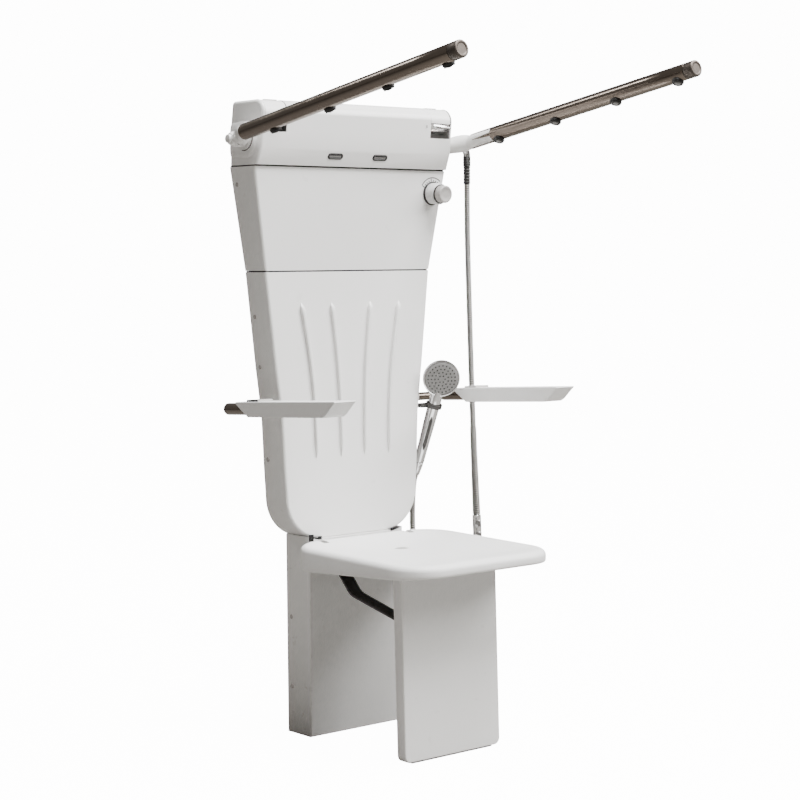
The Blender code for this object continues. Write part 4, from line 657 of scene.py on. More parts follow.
def shell(name, front, back, open_edges, edge, rider, stands_for):
    """An open-backed white cover: a front, side walls, rounded front edges and a skin."""
    body = bmesh.new()
    near = [body.verts.new(point) for point in front]
    far = [body.verts.new(point) for point in back]
    body.faces.new(near)
    weights = body.edges.layers.float.new("bevel_weight_edge")
    for k in range(len(near)):
        after = (k + 1) % len(near)
        if k not in open_edges:
            body.faces.new((near[k], far[k], far[after], near[after]))
            body.edges.get((near[k], near[after]))[weights] = 1.0
    loose = [vert for vert in body.verts if not vert.link_faces]
    bmesh.ops.delete(body, geom=loose, context="VERTS")
    turn_out(body, 1, -1)
    made = new_piece(name, body, WHITE_GLOSS)
    tell(made, rider, stands_for)
    skin(made, edge)
    return made


# Covers


def back_half(z):
    """Half the backrest's width at a height."""
    middle = (BACK_MID_HEIGHT, BACK_HALF_MID)
    if z < middle[0]:
        return on_line(z, (BACK_BOTTOM + BACK_CORNER, BACK_HALF_LOW), middle)
    return on_line(z, middle, (LOWER_SEAM, BACK_HALF_HIGH))


def middle_half(z):
    return on_line(z, (LOWER_SEAM, BACK_HALF_HIGH), (UPPER_SEAM, MIDDLE_HALF_HIGH))


def back_front(z):
    return -on_line(z, (BACK_BOTTOM, BACK_FRONT_LOW), (LOWER_SEAM, BACK_FRONT_HIGH))


def middle_front(z):
    return -on_line(z, (LOWER_SEAM, BACK_FRONT_HIGH), (UPPER_SEAM, MIDDLE_FRONT_HIGH))


def head_half(z):
    return on_line(z, (UPPER_SEAM, MIDDLE_HALF_HIGH), (HEAD_TOP, HEAD_HALF_TOP))


def head_face(z):
    return on_line(z, (UPPER_SEAM + SEAM / 2, -HEAD_FRONT_LOW), (HEAD_MID_HEIGHT, -HEAD_FRONT_MID))


def wall_side(z, y):
    """The outer side of the backrest or middle cover at a height and depth."""
    half = back_half(z) if z < LOWER_SEAM else middle_half(z)
    front = back_front(z) if z < LOWER_SEAM else middle_front(z)
    return half + SIDE_DRAFT * (1 - y / front)


def back_foot(x, extra):
    """The height of the backrest's lower edge at a place across."""
    half = BACK_HALF_LOW + extra
    start = half - BACK_CORNER
    if abs(x) <= start:
        return BACK_BOTTOM
    return BACK_BOTTOM + BACK_CORNER - (BACK_CORNER ** 2 - (abs(x) - start) ** 2) ** 0.5


def backrest_outline(extra):
    """The backrest's outline from its upper left corner round to its upper right one."""
    top = LOWER_SEAM - SEAM / 2
    centre = (BACK_HALF_LOW + extra - BACK_CORNER, BACK_BOTTOM + BACK_CORNER)
    right = arc(centre, BACK_CORNER, -90, 0, 28)
    bend = 10
    for k in range(bend + 1):
        z = BACK_MID_HEIGHT - 0.10 + 0.20 * k / bend
        ease = 0.0016 * sin(pi * k / bend)
        right.append((back_half(z) + extra - ease, z))
    right.append((back_half(top) + extra, top))
    return [(-x, z) for x, z in reversed(right)] + right


RIB_TOP = 0.918
RIB_FOOT = 0.590
RIB_TOPS = (0.053, 0.1325)
RIB_FEET = (0.0315, 0.0985)
RIB_WIDTH_TOP = 0.0100
RIB_WIDTH_FOOT = 0.0056
RIB_RISE = 0.0072
RIB_BOWS = (0.0065, 0.0095)
RIB_ROOT = 0.001


def back_rib(side, top_x, foot_x, bow):
    """One raised rib with steep flanks; it narrows to its foot and bows to the middle."""
    steps = 30
    crown = 8
    rings = []
    for k in range(steps + 1):
        share = k / steps
        z = RIB_FOOT + share * (RIB_TOP - RIB_FOOT)
        fade = min(1.0, share * 10, (1 - share) * 60) ** 0.5
        width = (RIB_WIDTH_FOOT + share * (RIB_WIDTH_TOP - RIB_WIDTH_FOOT)) / 2
        width *= max(fade, 0.12)
        x = side * (foot_x + share * (top_x - foot_x) - bow * sin(pi * share))
        ring = [(x - width, back_front(z) + RIB_ROOT, z)]
        for n in range(crown + 1):
            turn = pi * n / crown
            across = copysign(abs(cos(turn)) ** 0.32, cos(turn))
            ring.append((x - width * across,
                         back_front(z) - RIB_RISE * max(fade, 0.05) * sin(turn) ** 0.45, z))
        ring.append((x + width, back_front(z) + RIB_ROOT, z))
        rings.append(ring)
    return loft(rings)


def column_cover():
    """The lower column's cover; its top edge follows the backrest's foot."""
    steps = 16
    tops = [COLUMN_HALF - 2 * COLUMN_HALF * k / steps for k in range(steps + 1)]
    column = [(-COLUMN_HALF, 0.0), (COLUMN_HALF, 0.0)]
    column += [(x, back_foot(x, SIDE_DRAFT) - SEAM / 2) for x in tops]
    front = [(x, -COLUMN_DEPTH, z) for x, z in column]
    back = [(x, WALL_BACK, z) for x, z in column]
    made = shell("column_panel", front, back, set(range(2, 2 + steps)), COLUMN_EDGE, "base",
                 ("column_cover",))
    even_shading(made)


def backrest_cover():
    """The backrest with its round lower corners and its four raised ribs."""
    front = [(x, back_front(z), z) for x, z in backrest_outline(0.0)]
    back = [(x, WALL_BACK, z) for x, z in backrest_outline(SIDE_DRAFT)]
    made = shell("backrest_panel", front, back, {len(front) - 1}, BACK_EDGE, "base",
                 ("backrest_cover",))
    even_shading(made)
    for side, name in SIDES:
        for top_x, foot_x, bow, where in zip(RIB_TOPS, RIB_FEET, RIB_BOWS, ("inner", "outer")):
            put(f"back_rib_{where}_{name}", back_rib(side, top_x, foot_x, bow), WHITE_GLOSS,
                "base", sharp=60)


STRIP_PLAY = 0.0005
STRIP_THICK = 0.001
STRIP_REACH = 0.007
STRIP_END = 0.016


def seam_shade_strip(name, z, half, front):
    """A dark strip of painted shade behind the seam between two covers, and its ends that show at
    the sides.
    """
    wide, deep = half - SKIN - STRIP_PLAY, front - SKIN - STRIP_PLAY
    thin = STRIP_THICK
    outline = [(-wide, -thin), (-wide, -deep), (wide, -deep), (wide, -thin),
               (wide - thin, -thin), (wide - thin, -deep + thin), (-wide + thin, -deep + thin),
               (-wide + thin, -thin)]
    strips = [slab(outline, "z", z - STRIP_REACH, z + STRIP_REACH)]
    low, high = z - SEAM / 2 + 0.0002, z + SEAM / 2 - 0.0002
    strips += [sided(block((wide - thin, -STRIP_END, low),
                           (half + SIDE_DRAFT - 0.0016, -thin, high)), side)
               for side in (-1, 1)]
    put(f"{name}_seam_shade_strip", joined(strips), DARK_GREY, "base", sharp=30)


def middle_cover():
    """The cover between backrest and head, with the dial's opening and the two seams, with painted
    shade behind them.
    """
    low = LOWER_SEAM + SEAM / 2
    high = UPPER_SEAM - SEAM / 2
    middle = [(-middle_half(low), low), (middle_half(low), low),
              (middle_half(high), high), (-middle_half(high), high)]
    front = [(x, middle_front(z), z) for x, z in middle]
    back = [(x + SIDE_DRAFT * (1 if x > 0 else -1), WALL_BACK, z) for x, z in middle]
    made = shell("middle_panel", front, back, {0, 2}, BACK_EDGE, "base", ("middle_cover",))
    seam_shade_strip("lower", LOWER_SEAM, BACK_HALF_HIGH, BACK_FRONT_HIGH)
    seam_shade_strip("upper", UPPER_SEAM, MIDDLE_HALF_HIGH, MIDDLE_FRONT_HIGH)
    face = middle_front(DIAL_Z)
    opening = rod((DIAL_X, face - 0.02, DIAL_Z), (DIAL_X, face + 0.02, DIAL_Z), CAP_RADIUS * 0.8)
    carve(made, "dial_opening", opening)
    even_shading(made)


def shoulder_centre():
    return (-HEAD_FRONT_HIGH + HEAD_SHOULDER, HEAD_TOP - HEAD_SHOULDER)


def head_profile(steps):
    foot = UPPER_SEAM + SEAM / 2
    points = [(-HEAD_FRONT_LOW, foot), (-HEAD_FRONT_MID, HEAD_MID_HEIGHT)]
    points += arc(shoulder_centre(), HEAD_SHOULDER, 180, 90, steps)
    rear = (WALL_BACK - HEAD_REAR_ROUND, HEAD_TOP - HEAD_REAR_ROUND)
    points += arc(rear, HEAD_REAR_ROUND, 90, 0, 6)
    return points


def rinse_slope():
    return atan2(HEAD_FRONT_MID - HEAD_FRONT_LOW, HEAD_MID_HEIGHT - UPPER_SEAM - SEAM / 2)


def rinse_ring(side, half_length, half_height, steps=12):
    """An oval in the plane of the head's lower slope, about one rinse outlet."""
    slope = rinse_slope()
    up = Vector((0, -sin(slope), cos(slope)))
    centre = Vector((side * RINSE_X, head_face(RINSE_Z), RINSE_Z))
    flat = half_length - half_height
    points = arc((flat, 0.0), half_height, -90, 90, steps)
    points += arc((-flat, 0.0), half_height, 90, 270, steps)
    return [centre + Vector((1, 0, 0)) * a + up * b for a, b in points]


def rinse_stack(side, levels):
    """Loft rinse ovals of several sizes along the slope's outward direction."""
    slope = rinse_slope()
    out = Vector((0, -cos(slope), -sin(slope)))
    rings = []
    for inset, rise in levels:
        ring = rinse_ring(side, RINSE_LENGTH / 2 - inset, RINSE_HEIGHT / 2 - inset)
        rings.append([point + out * rise for point in ring])
    return loft(rings)


# Levels of the swelling round a hub: rise, front radius, half height and depth at the wall
HUB_MOUND = ((-0.0012, 0.0385, 0.0370, -0.0020), (0.0008, 0.0375, 0.0345, -0.0020),
             (0.0024, 0.0362, 0.0300, -0.0022), (0.0040, 0.0346, 0.0240, -0.0026),
             (0.0050, 0.0330, 0.0170, -0.0036), (0.0054, 0.0318, 0.0110, -0.0060))
HUB_SEAM = 0.0027
HUB_SEAM_FROM = -105
HUB_SEAM_TURN = 110


def hub_face():
    return head_half(ARM_PIVOT_Z - HUB_DISC_RADIUS) + HUB_DISC_WIDTH


def hub_outline(side, rise, front, half, rear):
    """One level of the swelling on the head's side: round in front, low towards the wall."""
    points = [(ARM_PIVOT_Y - front * cos(turn), front * sin(turn))
              for turn in [radians(-90 + 180 * k / 32) for k in range(33)]]
    flank = []
    for k in range(1, 13):
        share = k / 12
        ease = share * share * (3 - 2 * share)
        flank.append((ARM_PIVOT_Y + (rear - ARM_PIVOT_Y) * share, front + (half - front) * ease))
    points += flank + [(rear, half * cos(pi * k / 12)) for k in range(1, 12)]
    points += [(y, -up) for y, up in reversed(flank)]
    return [Vector((side * (head_half(ARM_PIVOT_Z + up) + rise), y, ARM_PIVOT_Z + up))
            for y, up in points]


def hub(side, name):
    """The swelling on the head's side, the disc that an arm turns against, and its dark seam."""
    mound = loft([hub_outline(side, *level) for level in HUB_MOUND])
    put(f"hub_mound_{name}", mound, WHITE_GLOSS, "base", sharp=0)
    foot = head_half(ARM_PIVOT_Z) + 0.002
    width = hub_face() - foot
    y, z = ARM_PIVOT_Y, ARM_PIVOT_Z + HUB_DISC_LIFT
    radius = HUB_DISC_RADIUS - 0.002
    profile = [(0, radius), (width - 0.0014, radius), (width - 0.0004, radius - 0.0005),
               (width, radius - 0.0018), (width, 0.006)]
    put(f"hub_disc_{name}", lathe(profile, (side * foot, y, z), (side, 0, 0)), WHITE_GLOSS,
        "base", sharp=50)
    turns = [radians(HUB_SEAM_FROM + HUB_SEAM_TURN * k / 30) for k in range(31)]
    inner, outer = radius - 0.0003, radius + 0.0010
    seam = [[Vector((side * (hub_face() - 0.0024 + lift), y - reach * cos(turn),
                     z + reach * sin(turn))) for turn in turns]
            for reach, lift in ((inner, 0.0), (outer, 0.0), (outer, HUB_SEAM), (inner, HUB_SEAM))]
    put(f"hub_seam_{name}", strip_loft(seam), DARK_GREY, "base", sharp=0)


RINSE_SLOTS = 5
RINSE_SLOT_PITCH = 0.0052
RINSE_SLOT_ROW = 0.0016


def rinse_outlet(side, name):
    """A rinse outlet: black rim, grey insert and two rows of slots."""
    ring = rinse_stack(side, ((0.0006, -0.004), (0.0, 0.0), (0.0, 0.0008), (0.0008, 0.0015),
                              (0.0030, 0.0015), (0.0039, 0.0008), (0.0039, -0.0010)))
    put(f"rinse_ring_{name}", ring, BLACK_PLASTIC, "base", (f"rinse_outlet_{name}",))
    insert = rinse_stack(side, ((0.0041, -0.0018), (0.0041, -0.0002), (0.0046, 0.0004)))
    insert = put(f"rinse_insert_{name}", insert, INSERT_GREY, "base")
    slots = []
    for row in (-1, 1):
        z = RINSE_Z + row * RINSE_SLOT_ROW
        for k in range(RINSE_SLOTS):
            x = side * RINSE_X + (k - (RINSE_SLOTS - 1) / 2) * RINSE_SLOT_PITCH
            slots.append(block((x - 0.0018, head_face(z) - 0.003, z - 0.0005),
                               (x + 0.0018, head_face(z) + 0.001, z + 0.0005)))
    carve(insert, f"rinse_slots_{name}", joined(slots))


def head():
    """The head cover with its pockets, hub discs and rinse outlets."""
    profile = head_profile(16)
    body = bmesh.new()
    rows = [[body.verts.new((side * head_half(z), y, z)) for y, z in profile]
            for side in (-1, 1)]
    corners = [body.verts.new((side * head_half(profile[0][1]), WALL_BACK, profile[0][1]))
               for side in (-1, 1)]
    weights = body.edges.layers.float.new("bevel_weight_edge")
    for k in range(len(profile) - 1):
        body.faces.new((rows[0][k], rows[0][k + 1], rows[1][k + 1], rows[1][k]))
    for row, rear in zip(rows, corners):
        body.faces.new(row + [rear])
        for k in range(len(profile) - 1):
            body.edges.get((row[k], row[k + 1]))[weights] = 1.0
    bmesh.ops.recalc_face_normals(body, faces=body.faces)
    turn_out(body, 2, 1)
    made = new_piece("head_panel", body, WHITE_GLOSS)
    tell(made, "base", ("head_cover",))
    skin(made, HEAD_EDGE)
    y, z = shoulder_centre()
    for side, name in SIDES:
        pocket = block((SHOULDER_FROM, y - 2 * HEAD_SHOULDER, SHOULDER_FOOT + POCKET_LIFT),
                       (SHOULDER_TO, y + SHOULDER_RADIUS * 0.6, HEAD_TOP + 0.02))
        carve(made, f"pocket_tool_{name}", sided(pocket, side))
        carve(made, f"rinse_tool_{name}", rinse_stack(side, ((-GAP, -0.02), (-GAP, 0.02))))
    even_shading(made)

    for side, name in SIDES:
        hub(side, name)
        rinse_outlet(side, name)


# Spray arms


def tipped(side, x, y, z, tilt, along, outward, up):
    """A point along, beside and above a bar that tips up from a pivot."""
    forward = Vector((0, -cos(tilt), sin(tilt)))
    rise = Vector((0, sin(tilt), cos(tilt)))
    pivot = Vector((side * x, y, z))
    return pivot + forward * along + rise * up + Vector((side, 0, 0)) * outward


def arm_point(side, along, outward=0.0, up=0.0):
    return tipped(side, ARM_X, ARM_PIVOT_Y, ARM_PIVOT_Z, ARM_TILT, along, outward, up)


def arm_ring(side, radius, along, shift=0.0):
    """A ring round a spray arm, moved outward by a shift."""
    turns = [2 * pi * k / ROUND for k in range(ROUND)]
    return [arm_point(side, along, shift + radius * cos(turn), radius * sin(turn))
            for turn in turns]


def sleeve_ring(side, radius, extra):
    """The tube's rear end: its outer half reaches further back than its inner half."""
    points = []
    for k in range(ROUND):
        turn = 2 * pi * k / ROUND
        share = min(max((-cos(turn) - 0.03) / 0.20, 0.0), 1.0)
        at = ARM_SLEEVE_OUTER + (ARM_SLEEVE_INNER - ARM_SLEEVE_OUTER) * share + extra
        points.append(arm_point(side, at, radius * cos(turn), radius * sin(turn)))
    return points


# Sections of the neck: distance from the pivot, radius, and share of the hub's offset
NECK = ((-0.0040, 0.0140, 1.0), (0.0, 0.0160, 1.0), (0.006, 0.0166, 1.0), (0.013, 0.0169, 0.98),
        (0.020, 0.0176, 0.88), (0.027, 0.0185, 0.74), (0.034, 0.0190, 0.58), (0.041, 0.0189, 0.42),
        (0.048, 0.0181, 0.26), (0.054, 0.0167, 0.12), (0.0585, 0.0151, 0.03), (0.063, 0.0143, 0.0),
        (0.075, 0.0142, 0.0), (0.105, 0.0139, 0.0), (0.138, 0.0137, 0.0))


HUB_SCREW_AT = 0.023
HUB_SCREW_LEAN = radians(62)


def arm_tongue(side):
    """The narrow bronze wedge let into the neck's inner side."""
    rings = []
    for k in range(13):
        along = 0.078 + 0.064 * k / 12
        half = 0.0003 + 0.0040 * k / 12
        ring = []
        for reach, ends in ((0.0132, (-1, 1)), (0.01445, (1, 0.5, 0, -0.5, -1))):
            for end in ends:
                up = half * end
                ring.append(arm_point(side, along, -(reach ** 2 - up ** 2) ** 0.5, up))
        rings.append(ring)
    return loft(rings)


def arm_neck(side, name, body):
    """The white neck with its hub, a screw in its elbow and the bronze wedge."""
    start = hub_face() + GAP
    middle = (start + HUB_END) / 2 - ARM_X
    width = HUB_END - start
    tip = HUB_RADIUS - HUB_NOSE_DROP
    profile = [(0, HUB_RADIUS - 0.0006), (0.0006, HUB_RADIUS), (width - HUB_NOSE, HUB_RADIUS)]
    profile += [(width - HUB_NOSE + HUB_NOSE * sin(turn), tip + HUB_NOSE_DROP * cos(turn))
                for turn in (0.2, 0.4, 0.6, 0.8, 1.0, 1.2, 1.4)]
    profile.append((width, tip))
    turned = lathe(profile, (side * start, ARM_PIVOT_Y, ARM_PIVOT_Z), (side, 0, 0))
    neck = put(f"arm_neck_piece_{name}", turned, WHITE_GLOSS, body, (f"arm_neck_{name}",),
               50)
    stem = loft([arm_ring(side, radius, along, share * middle) for along, radius, share in NECK])
    carve(neck, f"stem_tool_{name}", stem, "UNION")
    sunk, proud = [arm_point(side, HUB_SCREW_AT, 0.84 * middle + reach * cos(HUB_SCREW_LEAN),
                             -reach * sin(HUB_SCREW_LEAN)) for reach in (0.0178, 0.0278)]
    screw = lathe([(-0.0010, 0.0030), (0.0002, 0.0030), (0.0005, 0.0024), (0.0001, 0.0012)],
                  sunk, proud - sunk, 20)
    put(f"hub_screw_{name}", screw, DARK_GREY, body)
    put(f"arm_tongue_{name}", arm_tongue(side), BRONZE, body, sharp=0)


def arm_tube(side, name, body):
    """The bronze tube with its slanted rear end, and the cap that closes it."""
    end = ARM_LENGTH - ARM_CAP
    inner = ARM_RADIUS - ARM_WALL
    rings = [sleeve_ring(side, ARM_RADIUS - under, extra) for under, extra in
             ((0.0014, 0.0), (0.0006, 0.0006), (0.0001, 0.0018), (0.0, 0.0034))]
    rings += [arm_ring(side, ARM_RADIUS, along)
              for along in (0.16, 0.30, 0.45, 0.60, end - 0.0010)]
    rings += [arm_ring(side, radius, end - 0.0004) for radius in (ARM_RADIUS - 0.0005, inner)]
    rings.append(sleeve_ring(side, inner, 0.0))
    put(f"arm_tube_piece_{name}", loft(rings, wrap=True), BRONZE, body, (f"arm_tube_{name}",),
        40)
    rim, edge = ARM_LENGTH - 0.0042, 0.0035
    profile = [(end - 0.012, inner - 0.0006), (end + 0.0004, inner - 0.0006),
               (end + 0.0004, ARM_RADIUS - 0.0005), (end + 0.0010, ARM_RADIUS), (rim, ARM_RADIUS)]
    profile += arc((rim, ARM_RADIUS - edge), edge, 75, 0, 5)
    profile += [(ARM_LENGTH - 0.0009, ARM_RADIUS * 0.62), (ARM_LENGTH - 0.0017, ARM_RADIUS * 0.58)]
    cap = loft([arm_ring(side, radius, along) for along, radius in profile])
    put(f"arm_cap_piece_{name}", cap, BRONZE_CAP, body, (f"arm_cap_{name}",), 50)


def spray_heads(side, name, body):
    """Four spray heads under the tube: a black ring and a grey dome each."""
    out = arm_point(side, 0, -cos(SPRAY_ANGLE), -sin(SPRAY_ANGLE)) - arm_point(side, 0)
    stand = ARM_RADIUS + 0.0030
    ring = [(stand - 0.0070, 0.0098), (stand - 0.0046, 0.0118), (stand - 0.0014, 0.0122),
            (stand - 0.0004, 0.0118), (stand + 0.0002, 0.0106), (stand + 0.0006, 0.0106),
            (stand + 0.0012, 0.0110), (stand + 0.0020, 0.0108), (stand + 0.0030, 0.0098),
            (stand + 0.0030, 0.0070), (stand + 0.0012, 0.0066)]
    dome = [(stand + 0.0012, 0.0062), (stand + 0.0022, 0.0062)]
    dome += [(stand + 0.0022 + 0.0024 * sin(turn), 0.0062 * cos(turn))
             for turn in (0.3, 0.6, 0.9, 1.2, 1.4)]
    for number, station in enumerate(SPRAY_STATIONS):
        centre = arm_point(side, station)
        stands_for = () if number else (f"spray_rail_{name}",)
        put(f"spray_ring_{name}_{number + 1}", lathe(ring, centre, out, 40), BLACK_PLASTIC, body,
            stands_for, 30)
        put(f"spray_dome_{name}_{number + 1}", lathe(dome, centre, out, 32), DOME_GREY, body,
            sharp=50)


def spray_arm(side, name):
    for part in (arm_neck, arm_tube, spray_heads):
        part(side, name, f"spray_arm_{name}")


# Armrests


def rest_point(side, along, outward=0.0, up=0.0):
    return tipped(side, ARMREST_X, ARMREST_PIVOT_Y, ARMREST_PIVOT_Z, ARMREST_TILT, along,
                  outward, up)


def rest_slab(side, outline, inner, outer):
    return loft([[rest_point(side, along, outward, up) for along, up in outline]
                 for outward in (inner, outer)])


def armrest_bar(side, name, body):
    """The bronze bar with its pivot shaft, and the white boss on the backrest's side."""
    rear = rest_point(side, -ARMREST_BAR_REAR)
    forward = rest_point(side, 1.0) - rest_point(side, 0.0)
    profile = [(0, ARMREST_BAR * 0.35)]
    profile += [(BAR_ROUND - BAR_ROUND * cos(turn),
                 ARMREST_BAR - BAR_ROUND + BAR_ROUND * sin(turn))
                for turn in (0.25, 0.5, 0.75, 1.0, 1.25, pi / 2)]
    profile.append((ARMREST_BAR_REAR + ARMREST_BAR_FRONT, ARMREST_BAR))
    bar = put(f"armrest_tube_{name}", lathe(profile, rear, forward), BRONZE, body,
              (f"armrest_bar_{name}",), 40)
    head_x = wall_side(ARMREST_PIVOT_Z, ARMREST_PIVOT_Y) - SKIN - 0.007
    shaft = lathe([(0, ARMREST_SHAFT + 0.004), (0.0045, ARMREST_SHAFT + 0.004),
                   (0.0045, ARMREST_SHAFT), (ARMREST_X - head_x, ARMREST_SHAFT)],
                  (side * head_x, ARMREST_PIVOT_Y, ARMREST_PIVOT_Z), (side, 0, 0))
    carve(bar, f"shaft_tool_{name}", shaft, "UNION")
    wall = wall_side(ARMREST_PIVOT_Z + BOSS_RADIUS, ARMREST_PIVOT_Y + BOSS_RADIUS)
    boss = lathe([(-0.002, BOSS_RADIUS), (0.008, BOSS_RADIUS), (0.0095, BOSS_RADIUS - 0.0005),
                  (0.0106, BOSS_RADIUS - 0.0016), (0.011, BOSS_RADIUS - 0.003),
                  (0.011, ARMREST_SHAFT + 0.0012), (0.009, ARMREST_SHAFT + 0.0009)],
                 (side * wall, ARMREST_PIVOT_Y, ARMREST_PIVOT_Z), (side, 0, 0))
    put(f"armrest_boss_{name}", boss, WHITE_GLOSS, "base", sharp=50)


def bumper_outline(inset, slope, foot, top):
    return [(BUMPER_FROM + inset, PAD_RISE + foot), (BUMPER_TO - inset, PAD_RISE + foot),
            (BUMPER_TO - slope, PAD_RISE + top), (BUMPER_FROM + slope, PAD_RISE + top)]


def armrest_pad(side, name, body):
    """The white pad with its bevelled ends, and the strip let into its top."""
    foot = PAD_RISE - PAD_THICK
    half = ARMREST_WIDTH / 2
    outline = [(PAD_REAR_FOOT, foot), (PAD_TIP_FOOT, foot), (PAD_TIP_FOOT + 0.010, foot + 0.005),
               (PAD_TIP_TOP - 0.008, PAD_RISE - 0.007), (PAD_TIP_TOP - 0.001, PAD_RISE - 0.002),
               (PAD_TIP_TOP - 0.003, PAD_RISE), (PAD_REAR_TOP, PAD_RISE),
               (PAD_REAR_TOP - 0.0004, PAD_RISE - 0.003),
               (PAD_REAR_TOP + 0.004, PAD_RISE - 0.007)]
    pad = put(f"armrest_pad_piece_{name}", rest_slab(side, outline, -half, half), WHITE_PAD,
              body, (f"armrest_pad_{name}",), 0)
    soften(pad, PAD_EDGE, 5, 40)
    bore = rod(rest_point(side, -0.05), rest_point(side, ARMREST_BAR_FRONT + GAP),
               ARMREST_BAR + GAP)
    carve(pad, f"bar_bore_{name}", bore)
    even_shading(pad)
    edge = half - BUMPER_INSET
    outline = bumper_outline(0.0, 0.002, -0.001, BUMPER_RISE)
    strip = put(f"armrest_strip_{name}", rest_slab(side, outline, -edge, edge), CAP_GREY, body,
                (f"armrest_bumper_{name}",), 0)
    soften(strip, 0.0008, 3, 30)
    outline = bumper_outline(0.0004, 0.0020, -0.0006, BUMPER_RISE + 0.0002)
    lip = rest_slab(side, outline, edge - BUMPER_LIP, edge + 0.0003)
    put(f"armrest_strip_lip_{name}", lip, RUBBER, body)


def armrest(side, name):
    for part in (armrest_bar, armrest_pad):
        part(side, name, f"armrest_{name}")


# Dials and shoulder nozzles


def dial_axis():
    lean = atan2(MIDDLE_FRONT_HIGH - BACK_FRONT_HIGH, UPPER_SEAM - LOWER_SEAM)
    return Vector((0, -cos(lean), -sin(lean)))


def dials():
    """The temperature dial, the flow dial in front of it, and the ring and scale behind."""
    axis = dial_axis()
    face = Vector((DIAL_X, middle_front(DIAL_Z), DIAL_Z))
    collar = DIAL_RADIUS + 0.0028
    ring = [(0, 0.0156), (0, collar), (0.0012, collar), (0.0022, collar - 0.0010),
            (0.0022, 0.0156)]
    put("dial_base_ring", lathe(ring, face + axis * GAP, axis, wrap=True), BLACK_PLASTIC, "base",
        ("dial_ring",))
    start = 0.0025
    bore = 0.0099
    end = start + DIAL_LENGTH
    dial = [(start, bore), (start, DIAL_RADIUS - 0.0008), (start + 0.0008, DIAL_RADIUS),
            (end - 0.0065, DIAL_RADIUS), (end - 0.0055, DIAL_RADIUS - 0.0007),
            (end - 0.0045, DIAL_RADIUS)]
    dial += rolled(end, DIAL_RADIUS, 0.0025) + [(end, DIAL_RADIUS - 0.0035), (end, bore)]
    put("temperature_knob", lathe(dial, face, axis, wrap=True), DIAL_GREY, "temperature_dial",
        ("temperature_dial",), 40)
    band = [(end + 0.0002, 0.0150), (end + 0.0002, 0.0202), (end + 0.0006, 0.0208),
            (end + 0.0019, 0.0208), (end + 0.0022, 0.0204), (end + 0.0022, 0.0150)]
    put("flow_knob_ring", lathe(band, face, axis), BLACK_PLASTIC, "flow_dial")
    cap_from = end + DIAL_SPLIT
    cap_to = cap_from + CAP_LENGTH
    cap = [(start, 0.006), (cap_from, 0.006), (cap_from, CAP_RADIUS - 0.0005),
           (cap_from + 0.0006, CAP_RADIUS)]
    cap += rolled(cap_to, CAP_RADIUS, 0.003)
    cap += [(cap_to, CAP_RADIUS - 0.0045), (cap_to - 0.0006, CAP_RADIUS - 0.0055),
            (cap_to - 0.0006, CAP_RADIUS * 0.3)]
    put("flow_knob", lathe(cap, face, axis), CAP_GREY, "flow_dial", ("flow_dial",),
        40)
    dial_scale(face, axis)


def dial_scale(face, axis):
    """Printed ticks and an arc round the upper half of the dial."""
    right = Vector((1, 0, 0))
    up = axis.cross(right).normalized()
    up = up if up.z > 0 else -up
    marks = []
    for k in range(TICKS):
        turn = radians(TICK_FROM + TICK_STEP * k)
        tall = TICK_SHORT if k % 4 else TICK_LONG
        spoke = right * cos(turn) + up * sin(turn)
        across = spoke.cross(axis).normalized() * TICK_HALF_WIDTH
        inner = face + spoke * (DIAL_RADIUS + TICK_GAP)
        outer = face + spoke * (DIAL_RADIUS + TICK_GAP + tall)
        outline = [inner - across, outer - across, outer + across, inner + across]
        marks.append(loft([[point + axis * lift for point in outline] for lift in MARK_LEVELS]))
    put("dial_scale_ticks", joined(marks), MARK_GREY, "base")
    start, end = SCALE_ARC
    turns = [radians(start + (end - start) * k / 28) for k in range(29)]
    (inner, outer), (low, high) = SCALE_ARC_RADII, MARK_LEVELS
    line = [[face + axis * lift + radius * (right * cos(turn) + up * sin(turn)) for turn in turns]
            for lift, radius in ((low, inner), (high, inner), (high, outer), (low, outer))]
    put("dial_scale_arc", strip_loft(line), MARK_GREY, "base")


